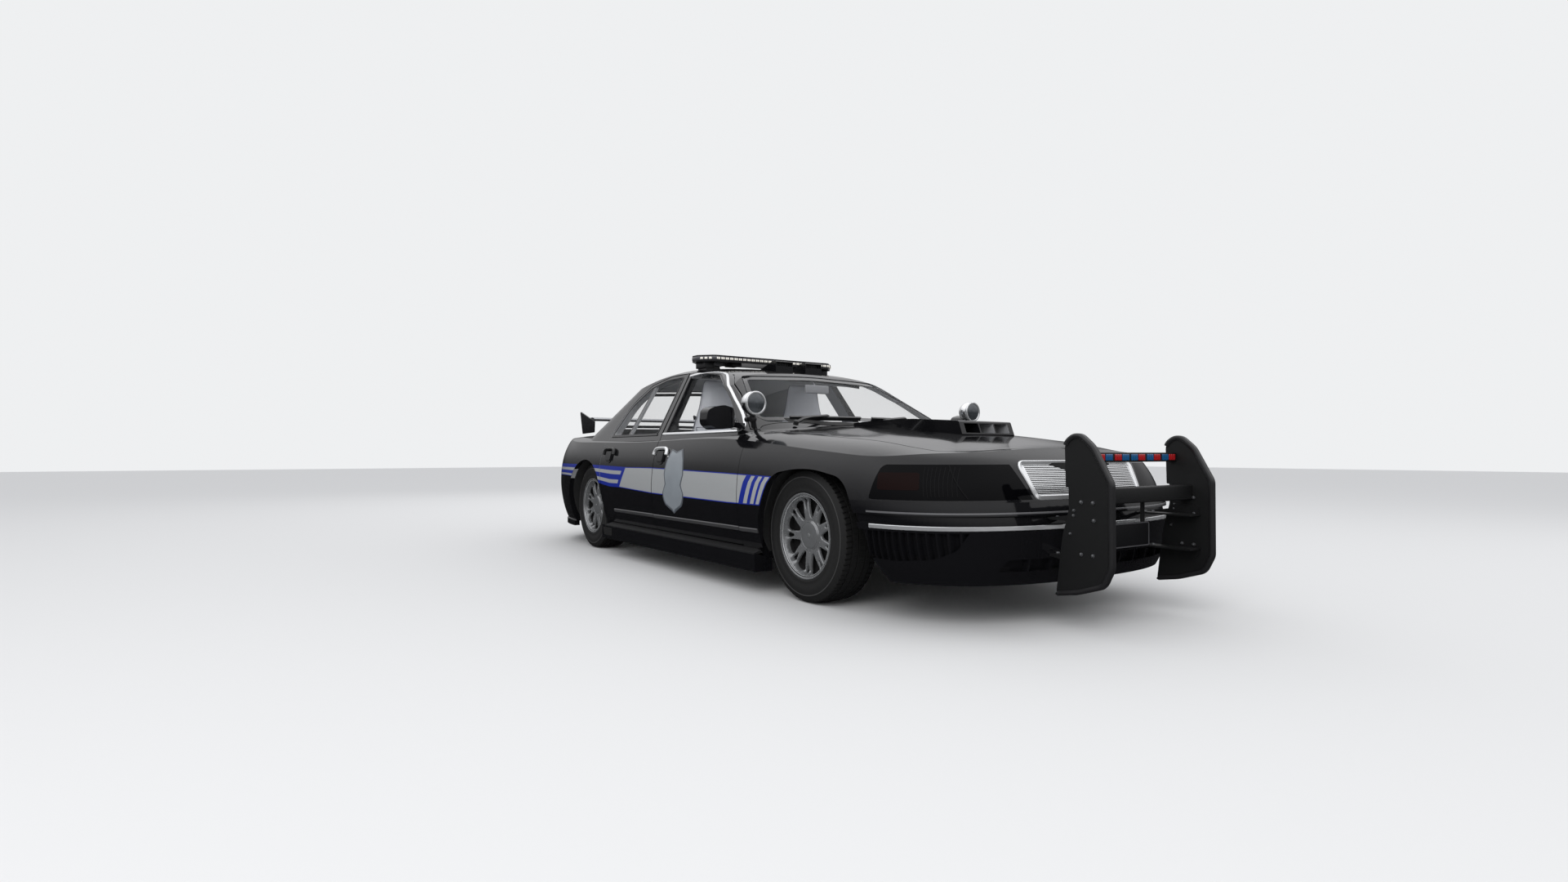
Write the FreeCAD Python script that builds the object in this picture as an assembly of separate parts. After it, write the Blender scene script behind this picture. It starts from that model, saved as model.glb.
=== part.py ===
import FreeCAD, Part
import math
import os
from FreeCAD import Vector

# Police patrol car, a large four-door saloon on a frame.
# While it is modelled, x = 0 is the front axle, x points forward, y to the car's
# left and z up from the ground.  On export it moves so that its box is centred in x.
# All lengths are millimetres.

# Driving dimensions
wheelbase = 2913.0
nose_reach = 1075.0            # front axle to the front of the bumper
tail_reach = 1337.0            # rear axle to the back of the bumper
push_bar_reach = 1382.0        # front axle to the front of the push bar
half_width = 985.0
sill_z = 190.0                 # underside of the body
belt_z = 876.0                 # lower edge of the side windows
edge_y = 740.0                 # where the heights of the upper edge are taken
roof_z = 1383.0
wheel_y = 800.0                # middle of a tyre
tyre_radius = 338.0
tyre_width = 220.0
bead_radius = 208.0
shut_line = 6.0                # space round every moving panel
half_shut = shut_line / 2
skin_depth = 35.0              # outer layer of a door, thickness of a wing
door_depth = 105.0             # whole thickness of a door
frame_depth = 28.0             # thickness of a window frame
pillar_depth = 56.0            # window frame and pillar together
seat_mark = 0.3                # running clearance between bodies
overrun = 60.0                 # what a cutter stands past the piece it cuts
touch = 0.001                  # points closer than this are one point

rear_axle_x = -wheelbase
tail_x = rear_axle_x - tail_reach
shift_x = -(tail_x + push_bar_reach) / 2
steer_y = 775.0                # steering axis of a knuckle
floor_top_z = sill_z + skin_depth

# Outline of the body in side view: height of its upper edge along the car
edge_x = (nose_reach, 885.0, 692.0, 520.0, 98.0, -774.0, -1640.0, -2600.0, -3200.0, -3700.0, tail_x)
edge_z = (700.0, 742.0, 764.0, 796.0, 841.0, 904.0, 900.0, 903.0, 908.0, 897.0, 868.0)


def spline_height(stations, heights, x):
    """Height at x on a smooth line through the stations, which run from front to back."""
    for i in range(len(stations) - 1):
        if x >= stations[i + 1]:
            break
    def slope(k):
        if k == 0 or k == len(stations) - 1:
            return 0.0
        return (heights[k + 1] - heights[k - 1]) / (stations[k + 1] - stations[k - 1])
    span = stations[i + 1] - stations[i]
    t = min(1.0, max(0.0, (x - stations[i]) / span))
    h00 = 2 * t ** 3 - 3 * t ** 2 + 1
    h10 = t ** 3 - 2 * t ** 2 + t
    h01 = -2 * t ** 3 + 3 * t ** 2
    h11 = t ** 3 - t ** 2
    return (h00 * heights[i] + h10 * span * slope(i)
            + h01 * heights[i + 1] + h11 * span * slope(i + 1))


def body_edge(x):
    return spline_height(edge_x, edge_z, x)


# Side surface of the lower body, as level lines from sill to shoulder.
# Each row: share of the height, share of the half width, nose and tail as shares of their reach
level_shares = (
    (0.00, 0.930, 0.963, 0.962),
    (0.10, 0.958, 0.981, 0.978),
    (0.25, 0.985, 0.995, 0.990),
    (0.45, 1.000, 1.000, 1.000),
    (0.62, 0.994, 0.986, 0.997),
    (0.78, 0.973, 0.957, 0.984),
    (0.90, 0.938, 0.925, 0.966),
    (0.97, 0.905, 0.900, 0.948),
    (1.00, 0.878, 0.880, 0.935),
)
lid_share = (0.640, 0.540, 0.750)       # width, nose and tail of the closing level
lid_z = 1100.0
nose_turn_x = 0.0                       # where the side starts to curve to the nose
tail_turn_x = rear_axle_x
turn_shares = (0.30, 0.50, 0.65, 0.78, 0.88, 0.95, 0.985)
side_shares = (0.0, 0.18, 0.36, 0.55, 0.75, 1.0)
nose_power = 5.0
nose_root = 0.42
tail_power = 3.0
tail_root = 0.4


def chord_marks(points):
    """Parameters that grow with the distance along the points, from 0 to 1."""
    marks = [0.0]
    for a, b in zip(points, points[1:]):
        marks.append(marks[-1] + a.distanceToPoint(b))
    return [mark / marks[-1] for mark in marks]


def smooth_line(points, marks):
    """Smooth curve that leaves the nose and reaches the tail square to the middle plane."""
    out = Vector(0, math.copysign(1, points[1].y), 0)
    curve = Part.BSplineCurve()
    curve.interpolate(Points=points, Parameters=marks, InitialTangent=out, FinalTangent=out * -1)
    return curve


def skin_face(lines, marks, rows):
    """Smooth face through curves that all have the same parameters."""
    curves = [smooth_line(points, marks) for points in lines]
    columns = []
    for poles in zip(*[curve.getPoles() for curve in curves]):
        column = Part.BSplineCurve()
        column.interpolate(Points=list(poles), Parameters=rows)
        columns.append(column)
    along = curves[0]
    surface = Part.BSplineSurface()
    surface.buildFromPolesMultsKnots([column.getPoles() for column in columns],
                                     along.getMultiplicities(), columns[0].getMultiplicities(),
                                     along.getKnots(), columns[0].getKnots(),
                                     False, False, along.Degree, columns[0].Degree)
    return surface


def skin_solid(lines):
    """Closed solid of a smooth skin through level lines; each line is its right half, nose to tail."""
    marks = chord_marks(lines[len(lines) // 2])
    middle = len(lines[0]) // 2
    rows = chord_marks([points[middle] for points in lines])
    faces = []
    rims = [[], []]
    for side in (1, -1):
        half = [[Vector(p.x, side * p.y, p.z) for p in points] for points in lines]
        surface = skin_face(half, marks, rows)
        faces.append(surface.toShape())
        for rim, row in zip(rims, (rows[0], rows[-1])):
            rim.append(surface.vIso(row).toShape())
    for rim in rims:
        faces.append(Part.Face(Part.Wire(rim)))
    shell = Part.makeCompound(faces)
    shell.sewShape()
    solid = Part.Solid(shell.Shells[0])
    if solid.Volume < 0:
        solid.reverse()
    return solid


def body_points(width, nose, tail, height):
    """Points of a level line round the lower body; height is a function of x."""
    points = [Vector(nose, 0, height(nose))]
    for share in reversed(turn_shares):
        x = nose_turn_x + share * (nose - nose_turn_x)
        y = width * (1 - share ** nose_power) ** nose_root
        points.append(Vector(x, -y, height(x)))
    for share in side_shares:
        x = nose_turn_x + share * (tail_turn_x - nose_turn_x)
        points.append(Vector(x, -width, height(x)))
    for share in turn_shares:
        x = tail_turn_x + share * (tail - tail_turn_x)
        y = width * (1 - share ** tail_power) ** tail_root
        points.append(Vector(x, -y, height(x)))
    points.append(Vector(tail, 0, height(tail)))
    return points


# Top surface: drop below the edge height, across the car
top_shares = ((0.0, 1.0), (0.45, 0.80), (0.80, 0.34), (1.0, 0.0))
shoulder_out = (115.0, 205.0, 330.0)
shoulder_drop = (28.0, 82.0, 210.0)
top_crown = 38.0
top_stations = (1150.0, 885.0, 692.0, 520.0, 98.0, -774.0, -1640.0, -2600.0, -3200.0, -3700.0, -4350.0)


def top_solid(inset):
    """Everything below the hood, shoulder and deck surface."""
    sections = []
    for x in top_stations:
        base = body_edge(x) - inset
        half = [Vector(x, -edge_y * a, base + top_crown * b) for a, b in top_shares]
        half += [Vector(x, -(edge_y + a), base - b) for a, b in zip(shoulder_out, shoulder_drop)]
        far = [Vector(p.x, -p.y, p.z) for p in half[1:]]
        points = list(reversed(half)) + far
        curve = Part.BSplineCurve()
        curve.interpolate(Points=points, Parameters=chord_marks(points))
        first = points[0]
        last = points[-1]
        low_left = Vector(x, last.y, 0)
        low_right = Vector(x, first.y, 0)
        sections.append(Part.Wire([curve.toShape(), Part.makeLine(last, low_left),
                                   Part.makeLine(low_left, low_right), Part.makeLine(low_right, first)]))
    return Part.makeLoft(sections, True, False)


def lower_body(inset, bottom, proud=0.0):
    """Lower body moved inward by inset, from the height bottom up; its nose can stand proud."""
    lines = []
    for share, width, nose, tail in level_shares:
        def height(x, share=share):
            return bottom + share * (body_edge(x) - inset - bottom)
        lines.append(body_points(half_width * width - inset,
                                 nose_reach * nose - inset + proud,
                                 tail_turn_x - tail_reach * tail + inset, height))
    width, nose, tail = lid_share
    lines.append(body_points(half_width * width - inset, nose_reach * nose - inset + proud,
                             tail_turn_x - tail_reach * tail + inset, lambda x: lid_z))
    return skin_solid(lines).common(top_solid(inset))


# Greenhouse: level lines from below the belt to above the roof
green_low = dict(z=930.0, nose=-520.0, turn_front=-1050.0, half=858.0, turn_back=-2760.0, tail=-3230.0)
green_high = dict(z=1290.0, nose=-1215.0, turn_front=-1350.0, half=640.0, turn_back=-2420.0, tail=-2680.0)
green_levels = (842.0, 930.0, 1050.0, 1170.0, 1290.0, 1395.0)
green_front_power = 3.0
green_front_root = 0.2
green_back_power = 3.0
green_back_root = 0.25
green_share = 0.90


def green_size(name, z):
    t = (z - green_low["z"]) / (green_high["z"] - green_low["z"])
    return green_low[name] + t * (green_high[name] - green_low[name])


def green_points(z, inset):
    nose = green_size("nose", z) - inset
    tail = green_size("tail", z) + inset
    front = min(green_size("turn_front", z), nose - overrun)
    back = max(green_size("turn_back", z), tail + overrun)
    half = green_size("half", z) - inset
    points = [Vector(nose, 0, z)]
    for share in reversed(turn_shares):
        x = front + share * (nose - front)
        points.append(Vector(x, -half * (1 - share ** green_front_power) ** green_front_root, z))
    for share in side_shares:
        points.append(Vector(front + share * (back - front), -half, z))
    for share in turn_shares:
        x = back + share * (tail - back)
        points.append(Vector(x, -half * (1 - share ** green_back_power) ** green_back_root, z))
    points.append(Vector(tail, 0, z))
    return points


roof_stations = (-400.0, -1000.0, -1320.0, -1600.0, -1900.0, -2200.0, -2500.0, -2750.0, -3400.0)
roof_drops = (330.0, 150.0, 62.0, 20.0, 0.0, 8.0, 42.0, 100.0, 330.0)
roof_shares = ((0.0, 0.0), (0.35, 0.06), (0.62, 0.19), (0.80, 0.37), (0.91, 0.66), (1.0, 1.08),
               (1.15, 1.95), (1.5, 4.9))
roof_half = 640.0
roof_crown = 62.0


def roof_solid(inset):
    sections = []
    for x, drop in zip(roof_stations, roof_drops):
        top = roof_z - drop - inset
        half = [Vector(x, -roof_half * a, top - roof_crown * b) for a, b in roof_shares]
        far = [Vector(p.x, -p.y, p.z) for p in half[1:]]
        points = list(reversed(half)) + far
        curve = Part.BSplineCurve()
        curve.interpolate(Points=points, Parameters=chord_marks(points))
        first = points[0]
        last = points[-1]
        low_left = Vector(x, last.y, sill_z)
        low_right = Vector(x, first.y, sill_z)
        sections.append(Part.Wire([curve.toShape(), Part.makeLine(last, low_left),
                                   Part.makeLine(low_left, low_right), Part.makeLine(low_right, first)]))
    return Part.makeLoft(sections, True, False)


def greenhouse(inset):
    lines = [green_points(z, inset) for z in green_levels]
    return skin_solid(lines).common(roof_solid(inset))


# Helpers for plain shapes
def rounded_wire(corners, radii):
    """Closed wire of straight runs with each corner rounded by its own radius."""
    runs = []
    for i, here in enumerate(corners):
        before = corners[i - 1] - here
        after = corners[(i + 1) % len(corners)] - here
        before.normalize()
        after.normalize()
        radius = radii[i]
        if radius == 0:
            runs.append((here, None, here))
            continue
        half = before.getAngle(after) / 2
        inward = before + after
        inward.normalize()
        reach = radius / math.tan(half)
        centre = here + inward * (radius / math.sin(half))
        runs.append((here + before * reach, centre - inward * radius, here + after * reach))
    edges = []
    for i, (entry, middle, leave) in enumerate(runs):
        last = runs[i - 1][2]
        if last.distanceToPoint(entry) > touch:
            edges.append(Part.makeLine(last, entry))
        if middle is not None:
            edges.append(Part.Arc(entry, middle, leave).toShape())
    return Part.Wire(edges)


def side_face(outline, y):
    """Face in the plane y from (x, z, radius) corners."""
    return Part.Face(rounded_wire([Vector(x, y, z) for x, z, r in outline], [r for x, z, r in outline]))


def grown(outline, grow):
    """Outline with each side moved outward by grow and its rounded corners to match."""
    if not grow:
        return outline
    after = outline[1:] + outline[:1]
    area = sum(a[0] * b[1] - a[1] * b[0] for a, b in zip(outline, after))
    turn = math.copysign(1, area)
    result = []
    for i, (u, v, radius) in enumerate(outline):
        before = Vector(u - outline[i - 1][0], v - outline[i - 1][1], 0).normalize()
        beyond = Vector(after[i][0] - u, after[i][1] - v, 0).normalize()
        normal = Vector(before.y + beyond.y, -before.x - beyond.x, 0) * turn
        reach = grow / (1 + before.dot(beyond))
        bend = turn * (before.x * beyond.y - before.y * beyond.x)
        if radius:
            radius = max(0.0, radius + math.copysign(grow, bend * grow))
        result.append((u + normal.x * reach, v + normal.y * reach, radius))
    return tuple(result)


def side_prism(outline, y_from, y_to, grow=0.0):
    return side_face(grown(outline, grow), y_from).extrude(Vector(0, y_to - y_from, 0))


def plan_prism(outline, z_from, z_to, grow=0.0):
    outline = grown(outline, grow)
    face = Part.Face(rounded_wire([Vector(x, y, z_from) for x, y, r in outline], [r for x, y, r in outline]))
    return face.extrude(Vector(0, 0, z_to - z_from))


def front_prism(outline, x_from, x_to, grow=0.0):
    outline = grown(outline, grow)
    face = Part.Face(rounded_wire([Vector(x_from, y, z) for y, z, r in outline], [r for y, z, r in outline]))
    return face.extrude(Vector(x_to - x_from, 0, 0))


def block(x_from, x_to, y_from, y_to, z_from, z_to):
    return Part.makeBox(x_to - x_from, y_to - y_from, z_to - z_from, Vector(x_from, y_from, z_from))


def tube(start, end, radius, bore=0.0):
    """Round bar from start to end, or a tube where bore is given."""
    axis = end - start
    bar = Part.makeCylinder(radius, axis.Length, start, axis)
    if bore:
        bar = bar.cut(Part.makeCylinder(bore, axis.Length, start, axis))
    return bar


def mirrored(shape):
    return shape.mirror(Vector(0, 0, 0), Vector(0, 1, 0))


def join(shapes):
    whole = shapes[0]
    for shape in shapes[1:]:
        whole = whole.fuse(shape)
    return whole


def without(shape, cutters):
    for cutter in cutters:
        shape = shape.cut(cutter)
    return shape


nodes = {}


def keep(name, shape):
    nodes[name] = shape


# Places where panels meet
door_front_x = -530.0
door_middle_x = -1640.0
door_back_x = -2592.0
door_low_z = 245.0
door_inset = 25.0
swing_room = 12.0              # extra space behind a window frame, which moves back as its door opens
front_bumper_z = 545.0
rear_bumper_z = 565.0
arch_radius = 385.0
arch_z = 320.0
front_arch_x = 15.0
front_well_y = 500.0
rear_well_y = 620.0
half_far = 1100.0
green_inner_y = 300.0
door_inner_y = 562.0           # window frames reach inward to here
belt_half_y = 775.0            # half of the clear width between the doors at the belt
lip_inner_y = 940.0            # inner side of the edge round a front wheel opening

front_door_outline = (
    (door_front_x, door_low_z, 12.0), (door_front_x, 890.0, 12.0), (-652.0, 896.0, 15.0),
    (-985.0, 1121.0, 500.0), (-1200.0, 1243.0, 300.0), (-1335.0, 1303.0, 200.0), (-1500.0, 1327.0, 300.0),
    (-1791.0, 1322.0, 8.0), (-1695.0, 900.0, 60.0), (-1655.0, 820.0, 200.0), (door_middle_x, 690.0, 200.0),
    (door_middle_x, door_low_z, 12.0),
)
rear_door_outline = (
    (door_middle_x, door_low_z, 12.0), (door_middle_x, 690.0, 200.0), (-1655.0, 820.0, 200.0),
    (-1695.0, 900.0, 60.0), (-1791.0, 1322.0, 8.0), (-2080.0, 1318.0, 400.0), (-2340.0, 1272.0, 120.0),
    (-2528.0, 1130.0, 200.0), (-2594.0, 905.0, 60.0), (door_back_x, 640.0, 150.0), (-2500.0, 430.0, 150.0),
    (-2484.0, door_low_z, 12.0),
)
front_window_outline = (
    (-1628.0, 893.0, 12.0), (-730.0, 893.0, 25.0), (-1000.0, 1086.0, 700.0), (-1215.0, 1210.0, 300.0),
    (-1370.0, 1277.0, 180.0), (-1560.0, 1300.0, 250.0), (-1728.0, 1298.0, 18.0),
)
rear_window_outline = (
    (-1766.0, 893.0, 12.0), (-1853.0, 1295.0, 18.0), (-2100.0, 1290.0, 350.0), (-2315.0, 1243.0, 90.0),
    (-2490.0, 1112.0, 180.0), (-2546.0, 893.0, 20.0),
)
divider_outline = ((-2230.0, 800.0, 0), (-2262.0, 1330.0, 0), (-2286.0, 1330.0, 0), (-2254.0, 800.0, 0))
hood_outline = (
    (-450.0, 0.0, 0), (-505.0, -400.0, 600.0), (-625.0, -806.0, 40.0), (100.0, -768.0, 3000.0),
    (560.0, -735.0, 400.0), (735.0, -690.0, 60.0), (815.0, -500.0, 300.0), (885.0, 0.0, 0),
)
front_arch_outline = (
    (-332.0, 150.0, 0), (-332.0, 400.0, 260.0), (-205.0, 650.0, 160.0), (90.0, 690.0, 1000.0),
    (395.0, 640.0, 160.0), (487.0, 480.0, 250.0), (545.0, 340.0, 250.0), (655.0, 150.0, 0),
)
lid_half_y = 640.0
lid_front_x = -3275.0
lid_low_z = 615.0


def full_plan(outline):
    """Whole plan outline from its right half."""
    right = [(x, y, r) for x, y, r in outline if y != 0]
    front = [(x, y, r) for x, y, r in outline if y == 0]
    left = [(x, -y, r) for x, y, r in reversed(right)]
    return tuple([(front[0][0], 0.0, 0)] + right + [(front[1][0], 0.0, 0)] + left)


def band(z_from, z_to, half_y=half_far):
    """Slab across the whole car between two heights."""
    return block(tail_x - overrun, push_bar_reach + overrun, -half_y, half_y, z_from, z_to)


outer = lower_body(0.0, sill_z).fuse(greenhouse(0.0))
middle = lower_body(skin_depth, floor_top_z).fuse(greenhouse(frame_depth))
belt_space = block(door_back_x - overrun, door_front_x - overrun, -belt_half_y, belt_half_y, edge_y, belt_z)
inner = join([lower_body(door_depth, floor_top_z), greenhouse(pillar_depth), belt_space])
skin = outer.cut(middle)
lining = middle.cut(inner)
arch_cut = side_prism(front_arch_outline, -half_far, -front_well_y)
front_barrel = Part.makeCylinder(arch_radius, lip_inner_y - front_well_y,
                                 Vector(front_arch_x, -lip_inner_y, arch_z), Vector(0, 1, 0))
front_well = front_barrel.fuse(arch_cut)
rear_well = Part.makeCylinder(arch_radius, half_far - rear_well_y,
                              Vector(rear_axle_x, -half_far, arch_z), Vector(0, 1, 0))
wells = [front_well, mirrored(front_well), rear_well, mirrored(rear_well)]

hood_low_z = 490.0
hood_prism = plan_prism(full_plan(hood_outline), hood_low_z, roof_z)
hood_solid = plan_prism(full_plan(hood_outline), hood_low_z, roof_z, -shut_line)

# Windshield and rear window
shield_outline = ((-775.0, 938.0, 40.0), (-560.0, 1262.0, 50.0), (0.0, 1286.0, 3000.0), (560.0, 1262.0, 50.0),
                  (775.0, 938.0, 40.0), (0.0, 948.0, 3000.0))
back_outline = ((-700.0, 960.0, 50.0), (-520.0, 1248.0, 60.0), (0.0, 1272.0, 2500.0), (520.0, 1248.0, 60.0),
                (700.0, 960.0, 50.0), (0.0, 968.0, 3000.0))
shield_back_x = -1340.0
back_low_x = -3600.0
back_high_x = -2540.0
glass_in = 10.0
glass_out = 15.0
glass_layer = greenhouse(glass_in).cut(greenhouse(glass_out))
shield_prism = front_prism(shield_outline, shield_back_x, 0.0)
back_prism = front_prism(back_outline, back_low_x, back_high_x)
keep("windshield", glass_layer.common(shield_prism))
keep("rear_window", glass_layer.common(back_prism))


def door(outline, windows, divider):
    """One right-hand door: skin with window frame, thick lower part, glass opening."""
    full = side_prism(outline, -half_far, -door_inner_y, -half_shut)
    inset = side_prism(outline, -half_far, -door_inner_y, -door_inset)
    low = block(-wheelbase - overrun, 0, -half_far, 0, 0, belt_z)
    panel = skin.common(full)
    core = lining.common(inset).common(low)
    leaf = panel.fuse(core)
    behind = full.copy()
    behind.translate(Vector(swing_room, 0, 0))
    high = block(-wheelbase - overrun, 0, -half_far, 0, belt_z, roof_z)
    leaf = leaf.cut(high.cut(behind))
    hole = side_prism(windows, -half_far, -door_inner_y)
    if divider:
        hole = hole.cut(side_prism(divider_outline, -half_far, -door_inner_y))
    leaf = without(leaf, [hole, hood_prism, shield_prism])
    return max(leaf.Solids, key=lambda solid: solid.Volume), hole


holes = []
for name, outline, windows, divider in (("front_door", front_door_outline, front_window_outline, False),
                                        ("rear_door", rear_door_outline, rear_window_outline, True)):
    leaf, hole = door(outline, windows, divider)
    pane = glass_layer.common(hole)
    keep(name + "_right", leaf)
    keep(name + "_left", mirrored(leaf))
    keep(name + "_glass_right", pane)
    keep(name + "_glass_left", mirrored(pane))
    holes.append(side_prism(windows, -half_far, -door_inner_y))

# Body frame: pillars, roof rails, sills, cowl
rings_cut = []
for outline in (front_door_outline, rear_door_outline):
    full = side_prism(outline, -half_far, -door_inner_y, half_shut)
    rings_cut.append(full.cut(middle))
    inset = side_prism(outline, -half_far, -door_inner_y, -door_inset + shut_line)
    rings_cut.append(inset.common(block(-wheelbase - overrun, 0, -half_far, 0, 0, belt_z)))
rings_cut += holes
rings_cut += [mirrored(cutter) for cutter in rings_cut]
roof_low_z = 1230.0
roof_split_outline = ((-1325.0, -545.0, 30.0), (-1325.0, 545.0, 30.0), (-2590.0, 500.0, 30.0), (-2590.0, -500.0, 30.0))
roof_split = plan_prism(roof_split_outline, roof_low_z, roof_z + overrun)
body = outer.cut(inner)
cowl_x = -440.0
cowl_half_y = 700.0
cowl_z = 840.0
quarter_top_z = 905.0
cabin_space = join([block(door_back_x, door_front_x, -half_far, half_far, 0, roof_z + overrun),
                    block(door_front_x, cowl_x, -cowl_half_y, cowl_half_y, cowl_z, roof_z + overrun),
                    block(lid_front_x, door_back_x, -half_far, half_far, quarter_top_z, roof_z + overrun)])
frame = body.common(cabin_space)
frame = without(frame, rings_cut + [shield_prism, back_prism, roof_split, hood_prism.cut(middle)] + wells)
floor_half_y = 800.0
floor_box = block(door_back_x, door_front_x, -floor_half_y, floor_half_y, 0, floor_top_z)
# Room at the foot of the windshield pillar for the corner of the front door as it swings
notch_back_x = -725.0
notch_front_x = -585.0
notch_outer_y = 845.0
notch_inner_y = 740.0
notch_low_z = 856.0
notch_high_z = 897.0
hinge_notch_back_x = -560.0
hinge_notch_front_x = -538.0
hinge_notch_outer_y = 885.0
hinge_notch_inner_y = 815.0
hinge_notch_low_z = 812.0
hinge_notch_high_z = 848.0
pillar_notch = block(notch_back_x, notch_front_x, -notch_outer_y, -notch_inner_y, notch_low_z, notch_high_z)
hinge_notch = block(hinge_notch_back_x, hinge_notch_front_x, -hinge_notch_outer_y, -hinge_notch_inner_y,
                    hinge_notch_low_z, hinge_notch_high_z)
notches = [pillar_notch, hinge_notch, mirrored(pillar_notch), mirrored(hinge_notch)]
frame = without(frame, [floor_box] + notches)
keep("body_frame", frame)
keep("roof_panel", body.common(roof_split))

# Lamps in the body
grille_outline = ((-390.0, 551.0, 30.0), (390.0, 551.0, 30.0), (429.0, 721.0, 35.0), (-429.0, 721.0, 35.0))
lamp_side = ((565.0, 553.0, 12.0), (nose_reach, 553.0, 0), (nose_reach, 706.0, 0), (598.0, 706.0, 30.0))
lamp_front = ((-404.0, 540.0, 0), (-466.0, 720.0, 0), (-half_far, 720.0, 0), (-half_far, 540.0, 0))
tail_side = ((-3715.0, 748.0, 15.0), (-3715.0, 834.0, 15.0), (tail_x, 834.0, 0), (tail_x, 640.0, 0),
             (-3960.0, 640.0, 30.0))
tail_inner_y = 650.0
lens_gap = 0.8
grille_x = 800.0
lamp_low_x = 500.0
front_layer = lower_body(lens_gap, sill_z).cut(lower_body(skin_depth, sill_z))


def lamp_prism(grow):
    side = side_prism(lamp_side, -half_far, -green_inner_y, grow)
    front = front_prism(lamp_front, lamp_low_x, nose_reach + overrun, grow)
    return side.common(front)


def tail_prism(grow):
    side = side_prism(tail_side, -half_far, -green_inner_y, grow)
    return side.common(block(tail_x - overrun, 0, -half_far, -tail_inner_y + grow, 0, roof_z))


grille_hole = front_prism(grille_outline, grille_x, nose_reach + overrun)
lamp_hole = lamp_prism(0.0)
tail_hole = tail_prism(0.0)
lamp = front_layer.common(lamp_prism(-lens_gap)).cut(hood_prism)
tail = front_layer.common(tail_prism(-lens_gap))
keep("headlamps", Part.makeCompound([lamp, mirrored(lamp)]))
keep("tail_lamps", Part.makeCompound([tail, mirrored(tail)]))

# Grille: a surround with thin level slats
grille_depth = 22.0
slat_count = 18
slat_high = 4.0
slats_low_z = 560.0
slats_high_z = 710.0
slats_low_half = 375.0
slats_high_half = 388.0
grille_layer = lower_body(lens_gap, sill_z).cut(lower_body(grille_depth, sill_z))
grille = grille_layer.common(front_prism(grille_outline, grille_x, nose_reach + overrun, -lens_gap))
pitch = (slats_high_z - slats_low_z + slat_high) / (slat_count + 1)
slots = []
for i in range(slat_count + 1):
    z_from = slats_low_z + i * pitch
    half = slats_low_half + (slats_high_half - slats_low_half) * i / slat_count
    slots.append(block(grille_x, nose_reach + overrun, -half, half, z_from, z_from + pitch - slat_high))
keep("grille", grille.cut(Part.makeCompound(slots)).cut(hood_prism))

# Front wings, nose, hood
pan_front_x = 560.0
pan_back_x = -3900.0
pan_half_y = 860.0
front_box = block(door_front_x, nose_reach + overrun, -half_far, half_far, front_bumper_z, roof_z)
front_box = front_box.fuse(block(door_front_x, front_arch_x, -half_far, half_far, 0, front_bumper_z))
front_box = front_box.cut(cabin_space)
front_skin = without(skin.common(front_box), [hood_prism, grille_hole, lamp_hole, mirrored(lamp_hole)] + wells)
front_pan = block(door_front_x, pan_front_x, -pan_half_y, pan_half_y, 0, floor_top_z)
keep("fenders", front_skin.cut(front_pan))
scoop_half = 200.0
scoop_wall = 9.0
scoop_cell = 105.0
scoop_back_x = -470.0
scoop_base_z = 800.0
scoop_outline = ((409.0, scoop_base_z, 0), (409.0, 855.0, 0), (383.0, 924.0, 12.0), (43.0, 946.0, 400.0),
                 (-238.0, 947.0, 400.0), (scoop_back_x, 938.0, 0), (scoop_back_x, scoop_base_z, 0))
cell_back_x = 180.0
cell_front_x = 430.0
cell_low_z = 862.0
cell_high_z = 912.0
scoop = side_prism(scoop_outline, -scoop_half, scoop_half).cut(middle).common(hood_solid)
scoop_cells = []
for place in (-1, 0, 1):
    y = place * (scoop_cell + scoop_wall)
    scoop_cells.append(block(cell_back_x, cell_front_x, y - scoop_cell / 2, y + scoop_cell / 2, cell_low_z, cell_high_z))
hood = skin.common(hood_solid).fuse(without(scoop, scoop_cells))
keep("hood", max(hood.Solids, key=lambda solid: solid.Volume))

# Front bumper: it stands proud of the nose, with a groove, side pockets and an intake
bumper_proud = 28.0
groove_deep = 16.0
groove_low_z = 449.0
groove_high_z = 488.0
pocket_deep = 22.0
intake_deep = 30.0
pocket_outline = ((500.0, 418.0, 0), (500.0, 296.0, 0), (700.0, 290.0, 80.0), (850.0, 305.0, 150.0),
                  (925.0, 345.0, 60.0), (958.0, 418.0, 0))
intake_outline = ((-615.0, 250.0, 8.0), (-572.0, 303.0, 12.0), (572.0, 303.0, 12.0), (615.0, 250.0, 8.0))
intake_x = 780.0
rib_pitch = 34.0
rib_thick = 5.0
intake_pitch = 118.0
divider_thick = 9.0


def bumper_body(inset, bottom):
    return lower_body(inset, bottom, bumper_proud)


bumper_outer = bumper_body(0.0, sill_z)
bumper_skin = bumper_outer.cut(bumper_body(skin_depth, floor_top_z))
front_bumper_box = block(front_arch_x, nose_reach + bumper_proud + overrun, -half_far, half_far, 0, front_bumper_z)
groove = band(groove_low_z, groove_high_z).cut(bumper_body(groove_deep, sill_z))
pocket = side_prism(pocket_outline, -half_far, -green_inner_y)
ribs = []
for i in range(int((nose_reach - pan_front_x) / rib_pitch)):
    rib_x = pan_front_x + i * rib_pitch
    ribs.append(block(rib_x, rib_x + rib_thick, -half_far, -green_inner_y, sill_z, front_bumper_z))
pocket = pocket.cut(Part.makeCompound(ribs)).cut(bumper_body(pocket_deep, sill_z))
intake = front_prism(intake_outline, intake_x, nose_reach + bumper_proud + overrun)
dividers = []
for i in range(-4, 5):
    divider_y = i * intake_pitch
    dividers.append(block(intake_x, nose_reach + bumper_proud + overrun, divider_y - divider_thick / 2,
                          divider_y + divider_thick / 2, sill_z, front_bumper_z))
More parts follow.
